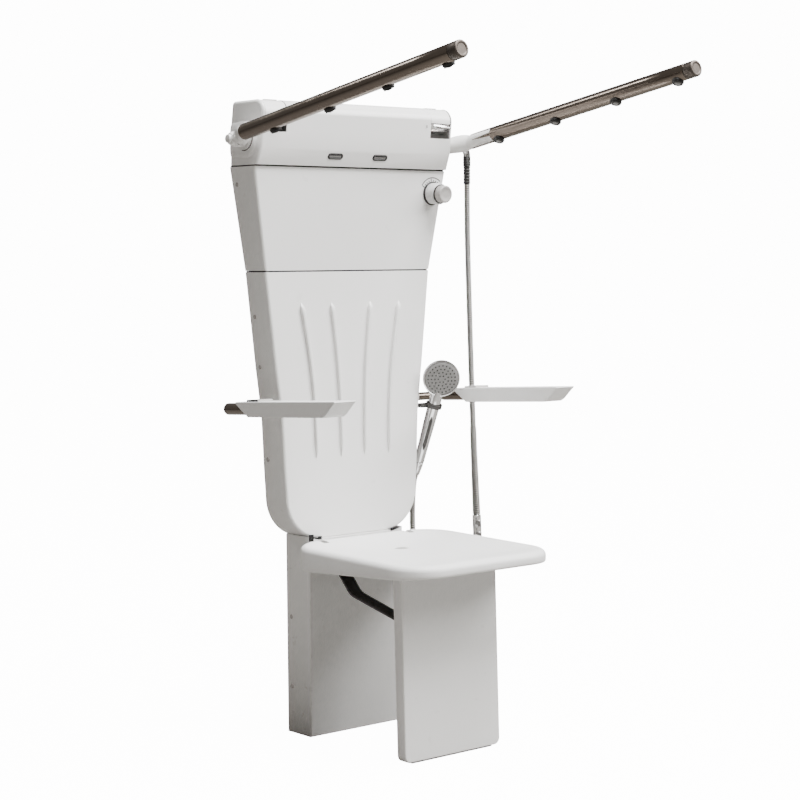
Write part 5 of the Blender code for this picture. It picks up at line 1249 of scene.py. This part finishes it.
def shoulder_nozzle(side, name):
    """A rolling barrel in a head corner: chrome front with a tab, white lid, dark slot."""
    y, z = shoulder_centre()
    start = SHOULDER_FROM + SHOULDER_PLAY
    end = SHOULDER_TO - SHOULDER_PLAY
    body = f"shoulder_nozzle_{name}"
    radius = SHOULDER_RADIUS - 0.0006
    width = end - start
    profile = [(-0.004, 0.004), (0, 0.004), (0, radius - 0.0012), (0.0012, radius),
               (width - 0.0012, radius), (width, radius - 0.0012), (width, 0.004),
               (width + 0.004, 0.004)]
    barrel = put(f"shoulder_barrel_{name}", lathe(profile, (side * start, y, z), (side, 0, 0)),
                 CHROME, body, (f"shoulder_nozzle_{name}",), 30)
    slot = block((start + 0.005, y - SHOULDER_RADIUS - 0.002, z - 0.0215),
                 (end - 0.005, y - SHOULDER_RADIUS + 0.011, z - 0.0170))
    carve(barrel, f"slot_tool_{name}", sided(slot, side))
    floor = curved_strip(radius - 0.0035, radius - 0.008, 202, 240, 8, start + 0.004, end - 0.004)
    put(f"shoulder_slot_{name}", sided(floor, side), BLACK_PLASTIC, body)
    lid = curved_strip(SHOULDER_RADIUS, radius - 0.002, 192, 40, 26, start - 0.0003, end + 0.0003)
    lid = put(f"shoulder_lid_{name}", sided(lid, side), WHITE_GLOSS, body,
              sharp=0)
    soften(lid, 0.0005, 2, 40)
    even_shading(lid)
    front = y - SHOULDER_RADIUS - TAB_REACH
    outline = [(start + 0.014, y - 0.020), (start + 0.012, front + 0.006),
               (start + 0.016, front + 0.001), (start + 0.022, front), (end - 0.006, front),
               (end - 0.002, front + 0.003), (end - 0.003, y - 0.020)]
    tab = slab(outline, "z", z - TAB_DROP, z - TAB_DROP + TAB_THICK)
    tab = put(f"shoulder_tab_{name}", sided(tab, side), CHROME, body, sharp=0)
    soften(tab, 0.0011, 3, 30)
    shoulder_trim(side, name)


def curved_strip(outer, inner, first, last, steps, start, end):
    """A strip about a nozzle's axis, between two radii, two angles and two places across."""
    centre = shoulder_centre()
    outline = arc(centre, outer, first, last, steps) + arc(centre, inner, last, first, steps)
    return slab(outline, "x", start, end)


def shoulder_trim(side, name):
    """Black gaskets at a pocket's two ends, a grey painted reflection on top, and the mark beside
    it.
    """
    y, z = shoulder_centre()
    gaskets = [curved_strip(SHOULDER_RADIUS + 0.0002, SHOULDER_RADIUS - 0.0030, 205, 60, 24,
                            start, end)
               for start, end in ((SHOULDER_FROM - 0.0002, SHOULDER_FROM + 0.0010),
                                  (SHOULDER_TO - 0.0012, SHOULDER_TO + 0.0002))]
    put(f"shoulder_gasket_{name}", joined([sided(piece, side) for piece in gaskets]),
        BLACK_PLASTIC, "base", sharp=40)
    # A grey patch on the head's top above the pocket: a painted reflection
    patch = oval(0.017, 0.0045, 0.0044, 8, (SHOULDER_FROM + 0.022, y + 0.004))
    rings = [[(side * x, flat, HEAD_TOP + lift) for x, flat in patch] for lift in (-0.0006, 0.0010)]
    put(f"shoulder_top_reflection_{name}", loft(rings), CAP_GREY, "base")
    dash = block((SHOULDER_FROM - 0.0135, y - 0.0286, z - 0.016),
                 (SHOULDER_FROM - 0.0125, y - 0.0275, z - 0.010))
    put(f"shoulder_mark_{name}", sided(dash, side), MARK_GREY, "base")


# Seat, leg and braces


def seat_ring(inset, steps=20):
    middle = (SEAT_REAR + SEAT_FRONT) / 2
    half = (SEAT_REAR - SEAT_FRONT) / 2
    radius = max(SEAT_CORNER - inset, 0.004)
    return oval(SEAT_HALF - inset, half - inset, radius, steps, (0.0, middle))


def rim_foot(y, rise):
    return on_line(y, (SEAT_REAR, SEAT_FOOT_REAR), (SEAT_FRONT, SEAT_FOOT_FRONT)) + rise


def seat_rise(y):
    """How much the seat's top rises towards its rear edge."""
    return on_line(y, (SEAT_REAR, SEAT_REAR_RISE), (SEAT_FRONT, 0.0))


def lug_notch(side):
    notch = block((0.1085, SEAT_PIVOT[0] - 0.0165, SEAT_FOOT_REAR - 0.02),
                  (0.1235, SEAT_REAR + 0.02, SEAT_TOP + 0.02))
    return sided(notch, side)


# Steps of the seat's under edge as inset and rise, and of its dish as inset and drop
SEAT_UNDER = ((0.005, 0.0), (0.0036, 0.0), (0.0020, 0.0006), (0.0008, 0.0020), (0.0002, 0.0045),
              (0.0, 0.0075))
SEAT_STEPS = ((0.022, 0.0002), (0.032, 0.0010), (0.045, 0.0026), (0.060, 0.0044),
              (0.075, 0.0058), (0.088, 0.0066))


def seat_body():
    """The seat's form: flat underneath, rolled rim, and a shallow dish on top."""
    rings = [[(x, y, SEAT_TOP - SEAT_DISH - 0.005) for x, y in seat_ring(0.005)]]
    for inset, rise in SEAT_UNDER:
        rings.append([(x, y, rim_foot(y, rise)) for x, y in seat_ring(inset)])
    for k in range(9):
        turn = radians(90 * k / 8)
        rings.append([(x, y, SEAT_TOP + seat_rise(y) - SEAT_ROLL + SEAT_ROLL * sin(turn))
                      for x, y in seat_ring(SEAT_ROLL * 1.1 * (1 - cos(turn)))])
    for inset, drop in SEAT_STEPS:
        rings.append([(x, y, SEAT_TOP + seat_rise(y) * (1 - drop / SEAT_DISH) - drop)
                      for x, y in seat_ring(inset)])
    middle = (SEAT_REAR + SEAT_FRONT) / 2
    for share in (0.8, 0.55, 0.3, 0.12):
        rings.append([(x * share, middle + (y - middle) * share, SEAT_TOP - SEAT_DISH)
                      for x, y in seat_ring(SEAT_STEPS[-1][0])])
    return loft(rings)


def seat():
    """The dished seat with its hinge slots, and the drain let into it."""
    made = put("seat_moulding", seat_body(), WHITE_SATIN, "seat", ("seat_shell",),
               48)
    carve(made, "hinge_slot_tool", joined([lug_notch(-1), lug_notch(1)]))
    relief = block((-0.110, SEAT_REAR - 0.010, SEAT_FOOT_REAR - 0.01),
                   (0.110, SEAT_REAR + 0.02, 0.378))
    carve(made, "rear_relief_tool", relief)
    top = SEAT_TOP - SEAT_DISH
    well = lathe([(-0.02, 0.0150), (0.0128, 0.0150), (0.0150, 0.0185), (0.03, 0.0185)],
                 (0, DRAIN_Y, top - 0.0145), (0, 0, 1), 40)
    carve(made, "drain_tool", well)
    cap = lathe([(0, 0.0144), (0.0030, 0.0144), (0.0040, 0.0138), (0.0044, 0.0125),
                 (0.0046, 0.004)], (0, DRAIN_Y, top - 0.005), (0, 0, 1), 40)
    cap = put("drain_grid", cap, CAP_GREY, "seat", ("drain_cap",))
    slots = [block((DRAIN_SLOT_PITCH * (k - 2) - 0.0008, DRAIN_Y - 0.008, top - 0.0035),
                   (DRAIN_SLOT_PITCH * (k - 2) + 0.0008, DRAIN_Y + 0.008, top + 0.002))
             for k in range(5)]
    carve(cap, "drain_slots_tool", joined(slots))


# Painted shade: black marks where the gaps in the column's top edge beside the seat's hinges lie in
# shadow: x from, x to, foot and top
HINGE_GAPS = ((-0.1275, -0.1165, 0.4175, 0.4315), (-0.1035, -0.0950, 0.4205, 0.4265),
              (0.0950, 0.1035, 0.4205, 0.4265))
FILLER_HALF = 0.094


def seat_seam():
    """Black painted shade in the gaps at the hinges, and the white filler between them under the
    backrest.
    """
    gaps = [block((low, -COLUMN_DEPTH - 0.0011, foot), (high, -COLUMN_DEPTH + 0.001, top))
            for low, high, foot, top in HINGE_GAPS]
    put("hinge_gap_painted_shade", joined(gaps), PAINTED_GAP_SHADE, "base")
    filler = block((-FILLER_HALF, -COLUMN_DEPTH + 0.0002, BACK_BOTTOM - 0.012),
                   (FILLER_HALF, -COLUMN_DEPTH + 0.010, BACK_BOTTOM + 0.0012))
    put("seat_gap_filler", filler, WHITE_GLOSS, "base")


def leg_front(z):
    return on_line(z, (0.0, LEG_FRONT_FOOT), (LEG_TOP, LEG_FRONT_TOP))


def leg():
    """The leg panel with its rounded lower corners, and the strip it stands on."""
    centre = (LEG_HALF - LEG_FOOT_CORNER, FOOT_PAD + LEG_FOOT_CORNER)
    right = arc(centre, LEG_FOOT_CORNER, -90, 0, 12) + [(LEG_HALF, LEG_TOP)]
    outline = [(-x, z) for x, z in reversed(right)] + right
    front = [(x, leg_front(z), z) for x, z in outline]
    back = [(x, leg_front(z) + LEG_THICK, z) for x, z in outline]
    made = shell("leg_moulding", front, back, {len(front) - 1}, LEG_EDGE, "leg",
                 ("leg_panel",))
    even_shading(made)
    foot_y = leg_front(0.0)
    strip = block((-LEG_HALF + 0.020, foot_y + 0.004, 0.0),
                  (LEG_HALF - 0.020, foot_y + LEG_THICK - 0.004, FOOT_PAD - GAP))
    strip = put("leg_foot_rubber", strip, RUBBER, "leg", ("leg_foot_strip",), 0)
    soften(strip, 0.0008, 2, 30)


def brace(side, name):
    """One bent strap brace with rolled eyes."""
    rear, bend, front = Vector(BRACE_REAR), Vector(BRACE_BEND), Vector(BRACE_FRONT)
    before, after = [bend + (end - bend).normalized() * BRACE_BEND_REACH for end in (rear, front)]
    shares = [k / 12 for k in range(13)]
    route = [before.lerp(bend, share).lerp(bend.lerp(after, share), share) for share in shares]
    route = [rear] + route + [front]
    left, right = [], []
    for k, point in enumerate(route):
        heading = (route[min(k + 1, len(route) - 1)] - route[max(k - 1, 0)]).normalized()
        normal = Vector((-heading.y, heading.x)) * BRACE_THICK / 2
        left.append(tuple(point + normal))
        right.append(tuple(point - normal))
    low, high = [side * BRACE_X + end * BRACE_WIDTH / 2 for end in (-1, 1)]
    made = put(f"brace_strap_{name}", slab(left + right[::-1], "x", low, high), BLACK_STEEL,
               f"brace_{name}", (f"brace_{name}",), 0)
    eyes = [rod((low, *point), (high, *point), radius, 40)
            for point, radius in zip((BRACE_REAR, BRACE_FRONT), BRACE_EYES)]
    carve(made, f"eye_tool_{name}", joined(eyes), "UNION")
    bores = [rod((low - 0.01, *point), (high + 0.01, *point), BRACE_BORE, 32)
             for point in (BRACE_REAR, BRACE_FRONT)]
    carve(made, f"eye_bore_{name}", joined(bores))
    soften(made, 0.0006, 2, 40)
    even_shading(made)


# Handset and hose


# Sections of the handle: share of its length from the foot, and what is added to the foot's
# or to the top's radius
HANDLE_FOOT_STEPS = ((0.0, -0.0012), (0.004, -0.0003), (0.02, 0.0), (0.15, 0.0004),
                     (0.30, 0.0010), (0.45, 0.0018))
HANDLE_TOP_STEPS = ((0.60, -0.0006), (0.72, 0.0), (0.80, -0.0004), (0.86, -0.0020))
# Rings of nozzles on the spray face: radius and number
NUB_RINGS = ((0.0075, 6), (0.0150, 11), (0.0225, 17), (0.0300, 23))


def handset_line():
    """The handle's length, and its direction from the foot up."""
    line = HANDSET_TOP - HANDSET_FOOT
    return line.length, line.normalized()


def handset_body():
    """The chromed head and handle, with a grey grip stripe down the handle's front."""
    facing = HANDSET_FACING
    half = HANDSET_DEPTH / 2
    rim = HANDSET_RADIUS
    profile = [(-half, rim * 0.35), (-half * 0.97, rim * 0.55), (-half * 0.86, rim * 0.72),
               (-half * 0.66, rim * 0.85), (-half * 0.38, rim * 0.94), (0.0, rim * 0.99),
               (half * 0.3, rim), (half - 0.0020, rim), (half - 0.0006, rim - 0.0006),
               (half, rim - 0.0018), (half, FACE_RADIUS + 0.0012),
               (half - 0.0012, FACE_RADIUS + 0.0004), (half - 0.0035, FACE_RADIUS + 0.0004)]
    put("handset_shell", lathe(profile, HANDSET_TOP, facing), CHROME, "handset",
        ("handset_body",), 35)
    length, upward = handset_line()
    steps = [(share, HANDLE_FOOT + more) for share, more in HANDLE_FOOT_STEPS]
    steps += [(share, HANDLE_TOP + more) for share, more in HANDLE_TOP_STEPS]
    steps.append((0.93, HANDSET_DEPTH * 0.42))
    handle = sweep([HANDSET_FOOT + upward * length * share for share, radius in steps],
                   [radius for share, radius in steps])
    put("handset_handle", handle, CHROME, "handset", sharp=50)
    sideways = upward.cross(facing).normalized()
    out = (facing - upward * facing.dot(upward)).normalized()
    stripe = []
    for share in [0.16 + 0.05 * k for k in range(9)]:
        centre = HANDSET_FOOT + upward * length * share
        radius = HANDLE_FOOT + (HANDLE_TOP - HANDLE_FOOT) * share * 1.05
        width = 0.0042 * min(1.0, (share - 0.14) * 14, (0.585 - share) * 14)
        stripe.append([centre + out * (radius + rise) + sideways * width * reach
                       for rise, reach in ((-0.001, -1), (0.0005, -0.8), (0.0007, 0),
                                           (0.0005, 0.8), (-0.001, 1))])
    put("handset_grip_stripe", loft(stripe), DARK_GREY, "handset", sharp=60)


def handset_face():
    """The grey spray face with rings of black nozzles."""
    half = HANDSET_DEPTH / 2
    face = [(half - 0.0032, FACE_RADIUS), (half - 0.0010, FACE_RADIUS),
            (half + 0.0002, FACE_RADIUS - 0.0008), (half + 0.0008, FACE_RADIUS - 0.0035),
            (half + 0.0012, FACE_RADIUS * 0.55), (half + 0.0014, FACE_RADIUS * 0.22)]
    put("handset_face_plate", lathe(face, HANDSET_TOP, HANDSET_FACING), FACE_GREY, "handset",
        ("handset_spray_face",), 50)
    first, second = square_to(HANDSET_FACING)
    nubs = []
    for radius, count in NUB_RINGS:
        level = half + (0.0006 if radius > 0.024 else 0.0010)
        profile = [(level - 0.0015, 0.00185), (level + 0.0005, 0.00170), (level + 0.0010, 0.0010)]
        for k in range(count):
            turn = 2 * pi * (k + 0.5 * (count % 4 == 0)) / count
            spot = HANDSET_TOP + radius * (cos(turn) * first + sin(turn) * second)
            nubs.append(lathe(profile, spot, HANDSET_FACING, 10))
    put("handset_nozzle_nubs", joined(nubs), BLACK_PLASTIC, "handset")


def hose_nut():
    """The cone nut at the handle's foot."""
    upward = handset_line()[1]
    nut = [(GAP, 0.0050), (GAP, NUT_RADIUS - 0.0006), (GAP + 0.0006, NUT_RADIUS),
           (NUT_LENGTH * 0.30, NUT_RADIUS), (NUT_LENGTH * 0.34, NUT_RADIUS - 0.0006),
           (NUT_LENGTH * 0.38, NUT_RADIUS - 0.0004), (NUT_LENGTH - 0.001, HOSE_RADIUS + 0.0010),
           (NUT_LENGTH, HOSE_RADIUS + 0.0006), (NUT_LENGTH, 0.0050)]
    return put("hose_nut_cone", lathe(nut, HANDSET_FOOT, -upward, wrap=True), CHROME, "handset",
               ("hose_nut",), 30)


def handset_holder():
    """The clip on the backrest's side: an arm, a ring round the handle, and its bore."""
    length, upward = handset_line()
    bore = HANDLE_TOP + HOLDER_PLAY
    outer = bore + HOLDER_WALL
    centre = HANDSET_FOOT + upward * length * HOLDER_AT - upward * HOLDER_HEIGHT * 0.25
    tall = HOLDER_HEIGHT / 2
    reach = upward * tall / 2
    rear = centre.y + outer + 0.006
    wall = wall_side(centre.z + tall / 2, rear) + GAP
    arm = block((wall, centre.y + 0.003, centre.z - tall / 2),
                (centre.x, rear, centre.z + tall / 2))
    holder = put("handset_clip", arm, DARK_GREY, "base", ("handset_holder",), 0)
    carve(holder, "clip_ring_tool", rod(centre - reach, centre + reach, outer), "UNION")
    carve(holder, "clip_bore_tool", rod(centre - reach * 3, centre + reach * 3, bore))
    soften(holder, 0.0008, 3, 40)
    even_shading(holder)


def hose_route():
    """The hose's run, by given points, from the outlet down and up to the nut."""
    upward = handset_line()[1]
    nut_end = HANDSET_FOOT - upward * (NUT_LENGTH + GAP)
    straight = nut_end - upward * 2 * HOSE_RADIUS
    top = OUTLET_FOOT - GAP
    points = [(OUTLET_X, y, z) for y, z in ((ARM_PIVOT_Y, top),
                                            (ARM_PIVOT_Y, top - 2 * HOSE_RADIUS),
                                            (-0.0560, 1.06), (-0.0610, 0.90), (-0.0670, 0.74),
                                            (-0.0740, 0.58), (-0.0810, 0.45), (-0.0850, 0.37))]
    points += [(0.3440, -0.0860, 0.290), (0.3370, -0.0810, 0.228), (0.3180, -0.0710, 0.181),
               (0.2890, -0.0590, 0.160), (0.2580, -0.0470, 0.164), (0.2330, -0.0370, 0.191),
               (0.2190, -0.0290, 0.238), (0.2140, -0.0225, 0.300), (0.2122, -0.0175, 0.370),
               (0.2120, -0.0155, 0.435), (0.2125, -0.0168, 0.480)]
    return points + [tuple(straight), tuple(nut_end)]


def evened(points, spacing):
    """Even points on a smooth line through the given points."""
    points = [Vector(point) for point in points]
    fine = []
    for k in range(len(points) - 1):
        before = points[k - 1] if k else points[0] * 2 - points[1]
        start, end = points[k], points[k + 1]
        after = points[k + 2] if k + 2 < len(points) else points[-1] * 2 - points[-2]
        span = (end - start).length
        leave = (end - before) * (span / (end - before).length)
        arrive = (after - start) * (span / (after - start).length)
        for step in range(24):
            t = step / 24
            fine.append((2 * t ** 3 - 3 * t ** 2 + 1) * start + (t ** 3 - 2 * t ** 2 + t) * leave
                        + (3 * t ** 2 - 2 * t ** 3) * end + (t ** 3 - t ** 2) * arrive)
    fine.append(points[-1])
    runs = [0.0]
    for k in range(1, len(fine)):
        runs.append(runs[-1] + (fine[k] - fine[k - 1]).length)
    count = round(runs[-1] / spacing)
    even = []
    at = 0
    for k in range(count + 1):
        want = runs[-1] * k / count
        while at < len(fine) - 2 and runs[at + 1] < want:
            at += 1
        share = (want - runs[at]) / (runs[at + 1] - runs[at])
        even.append(fine[at].lerp(fine[at + 1], min(share, 1.0)))
    return even


def rib(k):
    """How far the hose's surface lies below a crest, at a numbered point of its line."""
    return HOSE_RIB_DEPTH * (1 - HOSE_RIB[k % len(HOSE_RIB)])


def hose():
    """The ribbed metal hose with its ferrule and the spring guard above it."""
    line = evened(hose_route(), HOSE_RIB_SPACING / len(HOSE_RIB))
    tube = new_piece("shower_hose_ribbed",
                     sweep(line, [HOSE_RADIUS - rib(k) for k in range(len(line))], 18),
                     HOSE_CHROME)
    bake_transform(tube)
    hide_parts("shower_hose")
    full, groove, rim = FERRULE_RADIUS, FERRULE_RADIUS - 0.0005, FERRULE_RADIUS - 0.0006
    ferrule = [(0, HOSE_RADIUS + 0.0006), (0, rim), (0.0006, full), (0.0110, full),
               (0.0120, groove), (0.0130, full), (0.0370, full), (0.0380, groove),
               (0.0390, full), (0.0494, full), (0.0500, rim), (0.0500, HOSE_RADIUS + 0.0006)]
    low, high = [next(point for point in line if point.z <= level)
                 for level in (FERRULE_FROM, FERRULE_TO)]
    ferrule = put("hose_ferrule_sleeve", lathe(ferrule, low, high - low, wrap=True), CHROME,
                  "base", ("hose_ferrule",), 30)
    guard = [point for point in line
             if FERRULE_TO + 0.001 < point.z < GUARD_TOP and point.x > 0.33]
    widths = [GUARD_FOOT + GUARD_FLARE * k / len(guard) - rib(k) for k in range(len(guard))]
    put("hose_spring_guard", sweep(guard, widths, 20), HOSE_CHROME, "base",
        sharp=0)
    [tuple(point) for point in evened(hose_route(), 0.01)]


SLEEVE_RIBS = 6


def ribbed_sleeve(length, crest, valley):
    """The profile of a ribbed rubber sleeve, with a groove after each rib."""
    pitch = length / SLEEVE_RIBS
    points = [(0.0, valley - 0.0006)]
    for k in range(SLEEVE_RIBS):
        for share, radius in ((0.06, crest - 0.0003), (0.22, crest), (0.46, crest),
                              (0.60, crest - 0.0003), (0.66, valley), (0.94, valley)):
            points.append((pitch * (k + share), radius))
    return points + [(length, valley - 0.0006)]


def outlet():
    """The chrome elbow with its collar, and the white cap on the other end of the pipe."""
    hub_end = HUB_END + GAP
    y, z = ARM_PIVOT_Y, ARM_PIVOT_Z
    near = OUTLET_X - ELBOW_TURN
    bend = [radians(90 * k / 13) for k in range(1, 13)]
    route = [(hub_end, y, z), (near, y, z)]
    route += [(near + ELBOW_TURN * sin(turn), y, z - ELBOW_TURN + ELBOW_TURN * cos(turn))
              for turn in bend]
    route += [(OUTLET_X, y, z - ELBOW_TURN), (OUTLET_X, y, OUTLET_FOOT + 0.0125)]
    put("outlet_elbow_piece", sweep(route, ELBOW_RADIUS), CHROME, "base", ("outlet_elbow",),
        40)
    for name, foot, up, length, crest, valley in (
            ("outlet_collar", OUTLET_FOOT, 1, 0.0220, 0.0088, 0.0080),
            ("hose_top_sleeve", OUTLET_FOOT - GAP, -1, 0.0400, 0.0079, 0.0071)):
        sleeve = ribbed_sleeve(length, crest, valley)
        put(name, lathe(sleeve, (OUTLET_X, y, foot), (0, 0, up), wrap=True), BLACK_PLASTIC,
            "base", sharp=30)
    dome = [(0, MANIFOLD + GAP), (0, 0.0094), (0.0010, 0.0093), (0.0024, 0.0089),
            (0.0036, 0.0081), (0.0044, 0.0068), (0.0049, 0.0048),
            (0.0050, 0.0003), (0.0045, 0.0003), (0.0044, MANIFOLD + GAP)]
    put("manifold_cap_piece", lathe(dome, (-hub_end, y, z), (-1, 0, 0), wrap=True),
        WHITE_GLOSS, "base", ("manifold_cap",), 40)


SCREW_COVER_HEIGHTS = (0.10, 0.25, 0.59, 0.785, 0.89, 1.163)
SCREW_COVER_Y = -0.016
SCREW_COVER_RADIUS = 0.0048
SCREW_COVER_RISE = 0.0012


def screw_covers():
    """Small round covers over the fixing screws, along both sides near the wall."""
    radius, rise = SCREW_COVER_RADIUS, SCREW_COVER_RISE
    profile = [(-0.001, radius), (rise * 0.5, radius), (rise * 0.9, radius - 0.0007),
               (rise, radius - 0.0018), (rise, 0.0012)]
    for side, name in SIDES:
        for number, z in enumerate(SCREW_COVER_HEIGHTS):
            x = COLUMN_HALF if z < BACK_BOTTOM else wall_side(z, SCREW_COVER_Y)
            button = lathe(profile, (side * x, SCREW_COVER_Y, z), (side, 0, 0), 28)
            put(f"screw_cover_{name}_{number + 1}", button, CAP_GREY, "base",
                sharp=50)


# Solids kept from the part, with the finishes of the real ones; the seat bracket and the shoulder
# cradles take painted shade instead

KEPT = {
    SHEET_STEEL: ("wall_plate", "column_channel", "back_channel", "manifold_bracket", "seat_base"),
    BRASS: ("mixer_body", "mixer_cartridge"),
    STEEL: ("shower_manifold", "seat_hinge_pin_left", "seat_hinge_pin_right", "brace_pin_left",
            "brace_pin_right", "leg_hinge_rod"),
    # The shoulder cradles take near-black painted shade, the dark under each barrel
    PAINTED_GAP_SHADE: ("shoulder_cradle_left", "shoulder_cradle_right"),
    # The seat bracket carries painted shade: the column's tone in the seat's shadow
    BRACKET_SHADE_GREY: ("seat_bracket",),
    BLACK_STEEL: ("seat_rail_left", "seat_rail_right", "leg_brace_bracket"),
}


def dress_kept():
    for look, names in KEPT.items():
        for name in names:
            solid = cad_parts[name]
            solid.data.materials.clear()
            solid.data.materials.append(look)


# Camera, floor and light


def camera():
    ahead = Vector((sin(YAW) * cos(PITCH), cos(YAW) * cos(PITCH), -sin(PITCH)))
    right = Vector((cos(YAW), -sin(YAW), 0.0))
    up = right.cross(ahead)
    level = right * cos(ROLL) + up * sin(ROLL)
    upright = -right * sin(ROLL) + up * cos(ROLL)
    lens = bpy.data.cameras.new("photo_camera")
    lens.sensor_width = SENSOR
    lens.lens = SENSOR * FOCAL_IN_PIXELS / PHOTO_SIDE
    lens.clip_end = 60.0
    eye = in_scene(bpy.data.objects.new("photo_camera", lens))
    turn = Matrix((level, upright, -ahead)).transposed()
    eye.matrix_world = Matrix.Translation(EYE) @ turn.to_4x4()
    bpy.context.scene.camera = eye


def lamp(name, stand, aim, size, power, colour):
    light = bpy.data.lights.new(name, "AREA")
    light.size = size
    light.energy = power
    light.color = colour
    made = in_scene(bpy.data.objects.new(name, light))
    made.location = stand
    made.rotation_mode = "QUATERNION"
    made.rotation_quaternion = (Vector(aim) - Vector(stand)).to_track_quat("-Z", "Y")


# Backdrop as the camera sees it, light from all round, and the floor's two tints
PAPER_WHITE = 14.0
PAPER_TINT = (1.0, 1.0, 0.995, 1.0)
ROOM_LIGHT = 0.27
ROOM_TINT = (1.0, 0.955, 0.895, 1.0)
FLOOR_TINTS = ((0.25, 0.24, 0.225, 1.0), (0.23, 0.22, 0.205, 1.0))
# Lamps: name, place, aim, size, power and colour
LAMPS = (("key_lamp", (3.2, -3.4, 3.8), (0.0, -0.1, 0.8), 2.4, 300.0, (1.0, 0.995, 0.985)),
         ("top_lamp", (0.4, -1.9, 5.2), (0.0, -0.2, 0.5), 3.0, 780.0, (1.0, 1.0, 1.0)),
         ("rear_lamp", (-1.3, 2.7, 3.6), (-0.2, -0.4, 1.25), 0.5, 22.0, (1.0, 0.99, 0.97)))


def floor():
    """A pale floor, a hair below the part, that the camera sees as white as the backdrop."""
    paper = bpy.data.materials.new("floor_paper")
    paper.use_nodes = True
    tree = paper.node_tree
    shader = tree.nodes["Principled BSDF"]
    seen = tree.nodes.new("ShaderNodeLightPath").outputs["Is Camera Ray"]
    tint = mixed(tree, noise(tree, place_on(tree), 2.0, 2.0), *FLOOR_TINTS)
    glow = sums(tree, "MULTIPLY", seen, PAPER_WHITE)
    for label, value in (("Base Color", tint), ("Roughness", 0.9), ("Emission Color", PAPER_TINT),
                         ("Emission Strength", glow)):
        feed(tree, shader.inputs[label], value)
    disc = bmesh.new()
    bmesh.ops.create_circle(disc, cap_ends=True, segments=96, radius=30.0)
    ground = new_piece("studio_floor", disc)
    ground.data.materials.append(paper)
    ground.location = (0, 0, -0.0005)


def surround():
    """Soft warm light from all round, behind a backdrop that the camera sees as white."""
    world = bpy.data.worlds.new("studio_world")
    world.use_nodes = True
    tree = world.node_tree
    light = tree.nodes["Background"]
    backdrop = tree.nodes.new("ShaderNodeBackground")
    for made, tint, strength in ((light, ROOM_TINT, ROOM_LIGHT),
                                 (backdrop, PAPER_TINT, PAPER_WHITE)):
        made.inputs["Color"].default_value = tint
        made.inputs["Strength"].default_value = strength
    seen = tree.nodes.new("ShaderNodeLightPath").outputs["Is Camera Ray"]
    both = tree.nodes.new("ShaderNodeMixShader")
    for socket, value in zip(both.inputs, (seen, light.outputs[0], backdrop.outputs[0])):
        feed(tree, socket, value)
    feed(tree, tree.nodes["World Output"].inputs["Surface"], both.outputs[0])
    bpy.context.scene.world = world


def studio():
    floor()
    surround()
    for settings in LAMPS:
        lamp(*settings)


def main():
    camera()
    outlet()
    handset_body()
    handset_face()
    nut = hose_nut()
    handset_holder()
    hose()
    for part in (studio, column_cover, backrest_cover, middle_cover, head, dials, seat,
                 seat_seam, leg, screw_covers):
        part()
    for side, name in SIDES:
        for part in (spray_arm, armrest, shoulder_nozzle, brace):
            part(side, name)
    dress_kept()


main()
